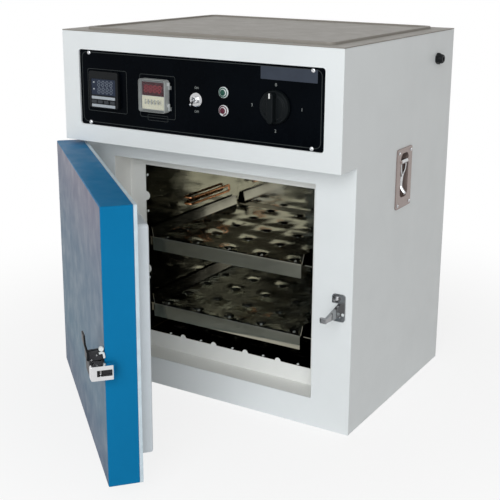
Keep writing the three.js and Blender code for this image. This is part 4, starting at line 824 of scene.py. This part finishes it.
def shorter_blade(mesh):
    """Slims the lever's hidden shaft, and draws the blade's upper end down and in a little."""
    blade_back, ring_back, ring_radius = housing_low.y - 0.15, housing_low.y - 1, 3.3
    hub_front, pin_share, hub_share, finger_top = -266.5, 0.5, 0.68, 230
    blade_foot, blade_share = 250 * MM, 0.84
    lean = AJAR.to_3x3() @ Vector((0, 0.10, 0))
    for vertex in mesh.vertices:
        inner = SHUT @ vertex.co / MM
        ring = math.hypot(inner.x - pivot.x, inner.z - pivot.z) < ring_radius
        if inner.y > blade_back or (ring and inner.y > ring_back):
            share = pin_share if inner.y < hub_front else hub_share
            inner.x = pivot.x + (inner.x - pivot.x) * share
            if inner.z > finger_top:
                inner.z = pivot.z + (inner.z - pivot.z) * share
            vertex.co = AJAR @ (inner * MM)
        above = vertex.co.z - blade_foot
        if above > 0:
            vertex.co.z = blade_foot + above * blade_share
            vertex.co += lean * above


def wire_ring(radius, wire, rise):
    form = bmesh.new()
    across = [math.pi * k / 6 for k in range(12)]
    along = [math.pi * k / 16 for k in range(33)]
    loft(form, [[((radius + wire * math.cos(a)) * math.cos(t),
                  (radius + wire * math.cos(a)) * math.sin(t), rise + wire * math.sin(a))
                 for a in across] for t in along], closed=False)
    return form


skin("latch_housing", "cast", 0.5, reshape=housing_slope)
skin("latch_bolt", "chrome", 0.5, 3, reshape=round_bolt)
skin("latch_lever", "black", 0.4, reshape=shorter_blade)
skin("latch_strike", "dull_chrome", 0.5, 3, reshape=strike_detail)
eye = at(strike_low.x + 8.2, strike_y, strike_high.z - 8)
settle("latch_strike_curl", wire_ring(5.5, 1.5, 0.6), eye, "curl", "cabinet")
settle("latch_strike_eye", lathe([(4.3, 0), (3.4, 0.5), (0, 0.9)], 24), eye, "grip_chrome",
       "cabinet")
screw("latch_strike_screw", at(strike_high.x - 3.4, strike_y, strike_low.z + 13.5), 2.7,
      material="silver")
plate("latch_bolt_backing", (22, 9.4, 1), 1.6, 0.2,
      on_door(bolt_high.x - 9.5, bolt_low.y + 20.5, (bolt_low.z + bolt_high.z) / 2, "right"),
      "cast", "latch_bolt")
settle("latch_bolt_roller", lathe([(1.3, 0), (1.9, 0.4), (1.9, 8.4), (1.3, 8.8)], 20),
       on_door(bolt_high.x - 6.5, bolt_low.y + 15.4, bolt_low.z + 6.6, "top"), "dull_chrome",
       "latch_bolt")
settle("latch_catch_button", lathe([(3.4, 0), (3.8, 0.6), (3.8, 3.4), (3.2, 4.4), (0, 4.8)], 24),
       on_door(housing_high.x - 0.5, -262.5, housing_high.z - 1, "right"), "silver", "door")
arm_x = housing_high.x + 2.5
tube("latch_catch_arm", [(arm_x, -266, 246.6), (arm_x, -259.7, 248), (arm_x, -258.8, 243.5),
                         (arm_x, -258.3, 239)], 1.7, "silver", "door", AJAR)
for row, y, z in (("upper", -268.8, 243), ("lower", -276.6, 236.2)):
    screw("latch_screw_" + row, on_door(housing_high.x, y, z, "right"), 1.4, "door",
          "dull_chrome")

# Control panel, prints and lettering

skin("control_panel", "panel", 0.3)
panel_y = box("control_panel")[0].y
for name, size, x, z in (("panel_outline", (481, 124.5, 10, 0.9), 0.5, 568.8),
                         ("controller_outline", (87, 75, 4, 0.7), -184.5, 564.5),
                         ("timer_outline", (75, 74, 4, 0.7), -75.3, 563.5),
                         ("timer_outline_tab", (43, 10, 1.5, 0.6), -75, 526.4)):
    settle(name, frame_line(*size), at(x, panel_y, z), "print", "cabinet")
plate("name_plate", (103, 20.5, 1.2), 0.5, 0.2, at(181.5, panel_y, 620), "nameplate")
for row, z in (("upper", 629.5), ("lower", 506)):
    for column, x in (("left", -223.5), ("right", 225)):
        screw(f"panel_screw_{row}_{column}", at(x, panel_y, z), 3.7)
KNOB_NUMBER, TOGGLE_WORD = 7, 5.2
knob, switch = middle("heat_switch_knob"), middle("toggle_switch")
for name, text, size, x, z in (("knob_number_zero", "0", KNOB_NUMBER, knob.x, 602),
                               ("knob_number_one", "1", KNOB_NUMBER, 206, 566),
                               ("knob_number_two", "2", KNOB_NUMBER, knob.x, 527.5),
                               ("knob_number_three", "3", KNOB_NUMBER, 114, 566),
                               ("toggle_on_word", "ON", TOGGLE_WORD, switch.x, 585),
                               ("toggle_off_word", "OFF", TOGGLE_WORD, switch.x, 545)):
    words(name, text, size, at(x, panel_y, z))

# Temperature controller

skin("temperature_controller", "black", 0.4)
controller, controller_y = middle("temperature_controller"), box("temperature_controller")[0].y
plate("display_block", (53, 28, 1), 0.9, 0.2,
      at(controller.x, controller_y + 1.2, controller.z + 5), "display")
display_y = controller_y + 0.3
for row, z in (("upper", controller.z + 11), ("lower", controller.z - 1)):
    settle(f"display_digits_{row}", digits("8888", 9.5, 9), at(controller.x + 4, display_y, z),
           "digit", "cabinet")
    plate(f"display_mark_{row}", (3.4, 2.4, 0.5), 0.1, 0.0,
          at(controller.x - 21, display_y, z + 2), "strip")
for row, z in (("upper", controller.z - 13.9), ("lower", controller.z - 27.9)):
    plate(f"key_strip_{row}", (52, 5, 0.8), 0.35, 0.1, at(controller.x, controller_y, z),
          "strip")
for index in range(1, 5):
    skin(f"controller_key_{index}", "key", 0.3)

# Timer with its cover and thumbwheels

skin("timer", "grey", 0.3)
MIDDLE_WHEEL, WHEEL_PITCH = 27.75, 6.8  # the middle wheel from the timer's left side
PANE_HALF = 25
timer_low = box("timer")[0]
timer_x, timer_y, timer_z = timer_low.x + MIDDLE_WHEEL, timer_low.y, middle("timer").z
window_z = timer_z + 11.6
plate("timer_red_window", (46, 23.5, 0.8), 1.4, 0.2, at(timer_x, timer_y + 0.9, window_z),
      "red_window")
# the red digits carry a faint painted glow
settle("timer_red_digits", digits("8888", 11, 9.4), at(timer_x, timer_y - 0.5, window_z),
       "red_digit_painted_glow", "cabinet")
cover = skin("timer_cover", "rim", 0.3)
paint_faces(cover, "pane", lambda place, normal: abs(normal.y) > 0.9
            and abs(place.x / MM - timer_x) < PANE_HALF
            and abs(place.z / MM - timer_z) < PANE_HALF)
for index, number in enumerate("14228", start=1):
    wheel = f"timer_thumbwheel_{index}"
    skin(wheel, "cream", 0.15)
    hub, face_y = middle(wheel), box(wheel)[0].y
    settle(f"thumbwheel_number_{index}", wrapped(digits(number, 4.2, 4, 0.06), hub.y - face_y),
           at(timer_x + (index - 3) * WHEEL_PITCH, face_y, hub.z), "ink", body_of[wheel])
for name, width, height, x, z in (("upper", 46, 6, timer_x, timer_z - 3.7),
                                  ("lower", 46, 8, timer_x, timer_z - 19.4),
                                  ("left", 5.6, 8.6, timer_x - 20.2, timer_z - 11.1),
                                  ("right", 5.6, 8.6, timer_x + 20.2, timer_z - 11.1)):
    plate(f"timer_cream_{name}", (width, height, 0.5), 0.5, 0.1, at(x, timer_y, z), "cream")

# Toggle, lamps, knob, gland

skin("toggle_switch", "chrome", 0.4)
skin("toggle_lever", "chrome", 0.2)
NUT_BORE = 6.05
settle("toggle_dress_nut", lathe([(NUT_BORE, 0.1), (11.5, 0.1), (12.0, 0.5), (12.0, 2.6),
                                  (11.4, 3.3), (8.4, 3.9), (NUT_BORE, 3.9)], 36),
       at(switch.x, panel_y, switch.z), "grip_chrome", "cabinet")
LENS_RADIUS = 5.0
for colour in ("green", "red"):
    axis = middle(f"{colour}_pilot_lamp")
    lamp = skin(f"{colour}_pilot_lamp", "silver", 0.25)
    paint_faces(lamp, colour, lambda place, normal: place.y < panel_y * MM and
                math.hypot(place.x / MM - axis.x, place.z / MM - axis.z) < LENS_RADIUS)
skin("heat_switch", "black", 0.4)
skin("heat_switch_knob", "knob", 0.5, 3)
plate("knob_pointer", (2.6, 8.5, 1.2), 0.35, 0.1,
      at(knob.x, box("heat_switch_knob")[0].y, knob.z + 19.7), "pointer",
      "heat_switch_knob")
skin("cable_gland", "black", 0.4)

# Carrying handles

FACE_X, SCREWS_Y, SCREWS_Z = 282.3, 25.5, 47  # the plate's face, and its screws from its middle
for name, sign in (("right", 1), ("left", -1)):
    skin(f"{name}_handle_plate", "plate", 0.4)
    skin(f"{name}_handle_grip", "grip_chrome", 0.4)
    dish = middle(f"{name}_handle_plate")
    for row, z in (("upper", dish.z + SCREWS_Z), ("lower", dish.z - SCREWS_Z)):
        for column, y in (("front", dish.y - SCREWS_Y), ("back", dish.y + SCREWS_Y)):
            screw(f"{name}_handle_screw_{row}_{column}", at(sign * FACE_X, y, z, name), 3.0,
                  material="grip_chrome")

# Camera, solved from the straight edges of the cabinet

EYE = Vector((0.95252, -1.63145, 0.81601))
YAW, PITCH, ROLL = 0.529638, 0.259558, 0.01117
FOCAL_PX, FRAME_PX = 1002.28, 500
CENTRE_PX = (268.85, 211.30)
SENSOR = 36


def add_camera():
    forward = Vector((-math.sin(YAW) * math.cos(PITCH), math.cos(YAW) * math.cos(PITCH),
                      -math.sin(PITCH)))
    level = Vector((math.cos(YAW), math.sin(YAW), 0))
    upright = level.cross(forward)
    right = level * math.cos(ROLL) + upright * math.sin(ROLL)
    up = upright * math.cos(ROLL) - level * math.sin(ROLL)
    data = bpy.data.cameras.new("camera")
    data.sensor_width = SENSOR
    data.lens = SENSOR * FOCAL_PX / FRAME_PX
    data.shift_x = (FRAME_PX / 2 - CENTRE_PX[0]) / FRAME_PX
    data.shift_y = (CENTRE_PX[1] - FRAME_PX / 2) / FRAME_PX
    data.clip_start = 0.05
    made = new_object("camera", data)
    turn = Matrix((right, up, -forward)).transposed().to_4x4()
    made.matrix_world = Matrix.Translation(EYE) @ turn
    bpy.context.scene.camera = made


# Stage: a pale floor, a white surround and one soft lamp

WHITE = (1.0, 1.0, 1.0, 1.0)
FILL, FILL_COLOUR = 0.32, (1.0, 0.98, 0.95, 1.0)
FLOOR_HALF, FLOOR_GREY = 6.0, (0.88, 0.88, 0.88, 1.0)
GLOW_FROM, GLOW_TO, GLOW_NEAR = 0.35, 1.1, 0.82  # how far out the floor turns from part to white


def sees_background(tree):
    """One where a camera, mirror or glass ray meets the surface, and zero for light rays."""
    rays = tree.nodes.new("ShaderNodeLightPath")
    most = rays.outputs["Is Camera Ray"]
    for ray in ("Is Glossy Ray", "Is Transmission Ray"):
        larger = tree.nodes.new("ShaderNodeMath")
        larger.operation = "MAXIMUM"
        tree.links.new(most, larger.inputs[0])
        tree.links.new(rays.outputs[ray], larger.inputs[1])
        most = larger.outputs[0]
    return most


def mix_to_output(tree, share, first, second, output):
    """Shows the first shader where share is 0 and the second where it is 1."""
    either = tree.nodes.new("ShaderNodeMixShader")
    for socket, value in zip(either.inputs, (share, first, second)):
        tree.links.new(value, socket)
    tree.links.new(either.outputs[0], tree.nodes[output].inputs["Surface"])


def add_world():
    world = bpy.data.worlds.new("surround")
    bpy.context.scene.world = world
    world.use_nodes = True
    tree = world.node_tree
    plain = tree.nodes["Background"]
    set_inputs(plain, {"Color": FILL_COLOUR, "Strength": FILL})
    white = tree.nodes.new("ShaderNodeBackground")
    set_inputs(white, {"Color": WHITE, "Strength": 1.0})
    mix_to_output(tree, sees_background(tree), plain.outputs[0], white.outputs[0],
                  "World Output")


def add_floor():
    """White where it is far off; near the oven part of it is a matt floor that takes shadow."""
    mesh = bpy.data.meshes.new("floor")
    signs = ((-1, -1), (1, -1), (1, 1), (-1, 1))
    mesh.from_pydata([(x * FLOOR_HALF, y * FLOOR_HALF, 0) for x, y in signs], [],
                     [(0, 1, 2, 3)])
    made = new_object("floor", mesh)
    material = bpy.data.materials.new("floor")
    material.use_nodes = True
    tree = material.node_tree
    matt = tree.nodes["Principled BSDF"]
    set_inputs(matt, {"Base Color": FLOOR_GREY, "Roughness": 0.9, "Specular IOR Level": 0.1})
    light = tree.nodes.new("ShaderNodeEmission")
    set_inputs(light, {"Strength": 1.0})
    where = tree.nodes.new("ShaderNodeTexCoord")
    away = tree.nodes.new("ShaderNodeVectorMath")
    away.operation = "LENGTH"
    tree.links.new(where.outputs["Object"], away.inputs[0])
    glow = tree.nodes.new("ShaderNodeMapRange")
    glow.interpolation_type = "SMOOTHSTEP"
    set_inputs(glow, {"From Min": GLOW_FROM, "From Max": GLOW_TO, "To Min": GLOW_NEAR,
                      "To Max": 1.0})
    tree.links.new(away.outputs["Value"], glow.inputs["Value"])
    share = tree.nodes.new("ShaderNodeMath")
    share.operation = "MULTIPLY"
    tree.links.new(sees_background(tree), share.inputs[0])
    tree.links.new(glow.outputs["Result"], share.inputs[1])
    mix_to_output(tree, share.outputs[0], matt.outputs[0], light.outputs[0], "Material Output")
    mesh.materials.append(material)


def add_lamp(name, place, aim, size, power, colour):
    data = bpy.data.lights.new(name, "AREA")
    data.color = colour
    data.shape = "DISK"
    data.size = size
    data.energy = power
    made = new_object(name, data)
    made.location = place
    made.rotation_euler = (Vector(aim) - Vector(place)).to_track_quat("-Z", "Y").to_euler()


add_camera()
add_world()
add_floor()
add_lamp("key", (1.45, -3.85, 1.90), (0, 0, 0.35), 3.6, 121, (0.95, 0.98, 1.0))
bpy.context.scene.view_settings.view_transform = "Standard"
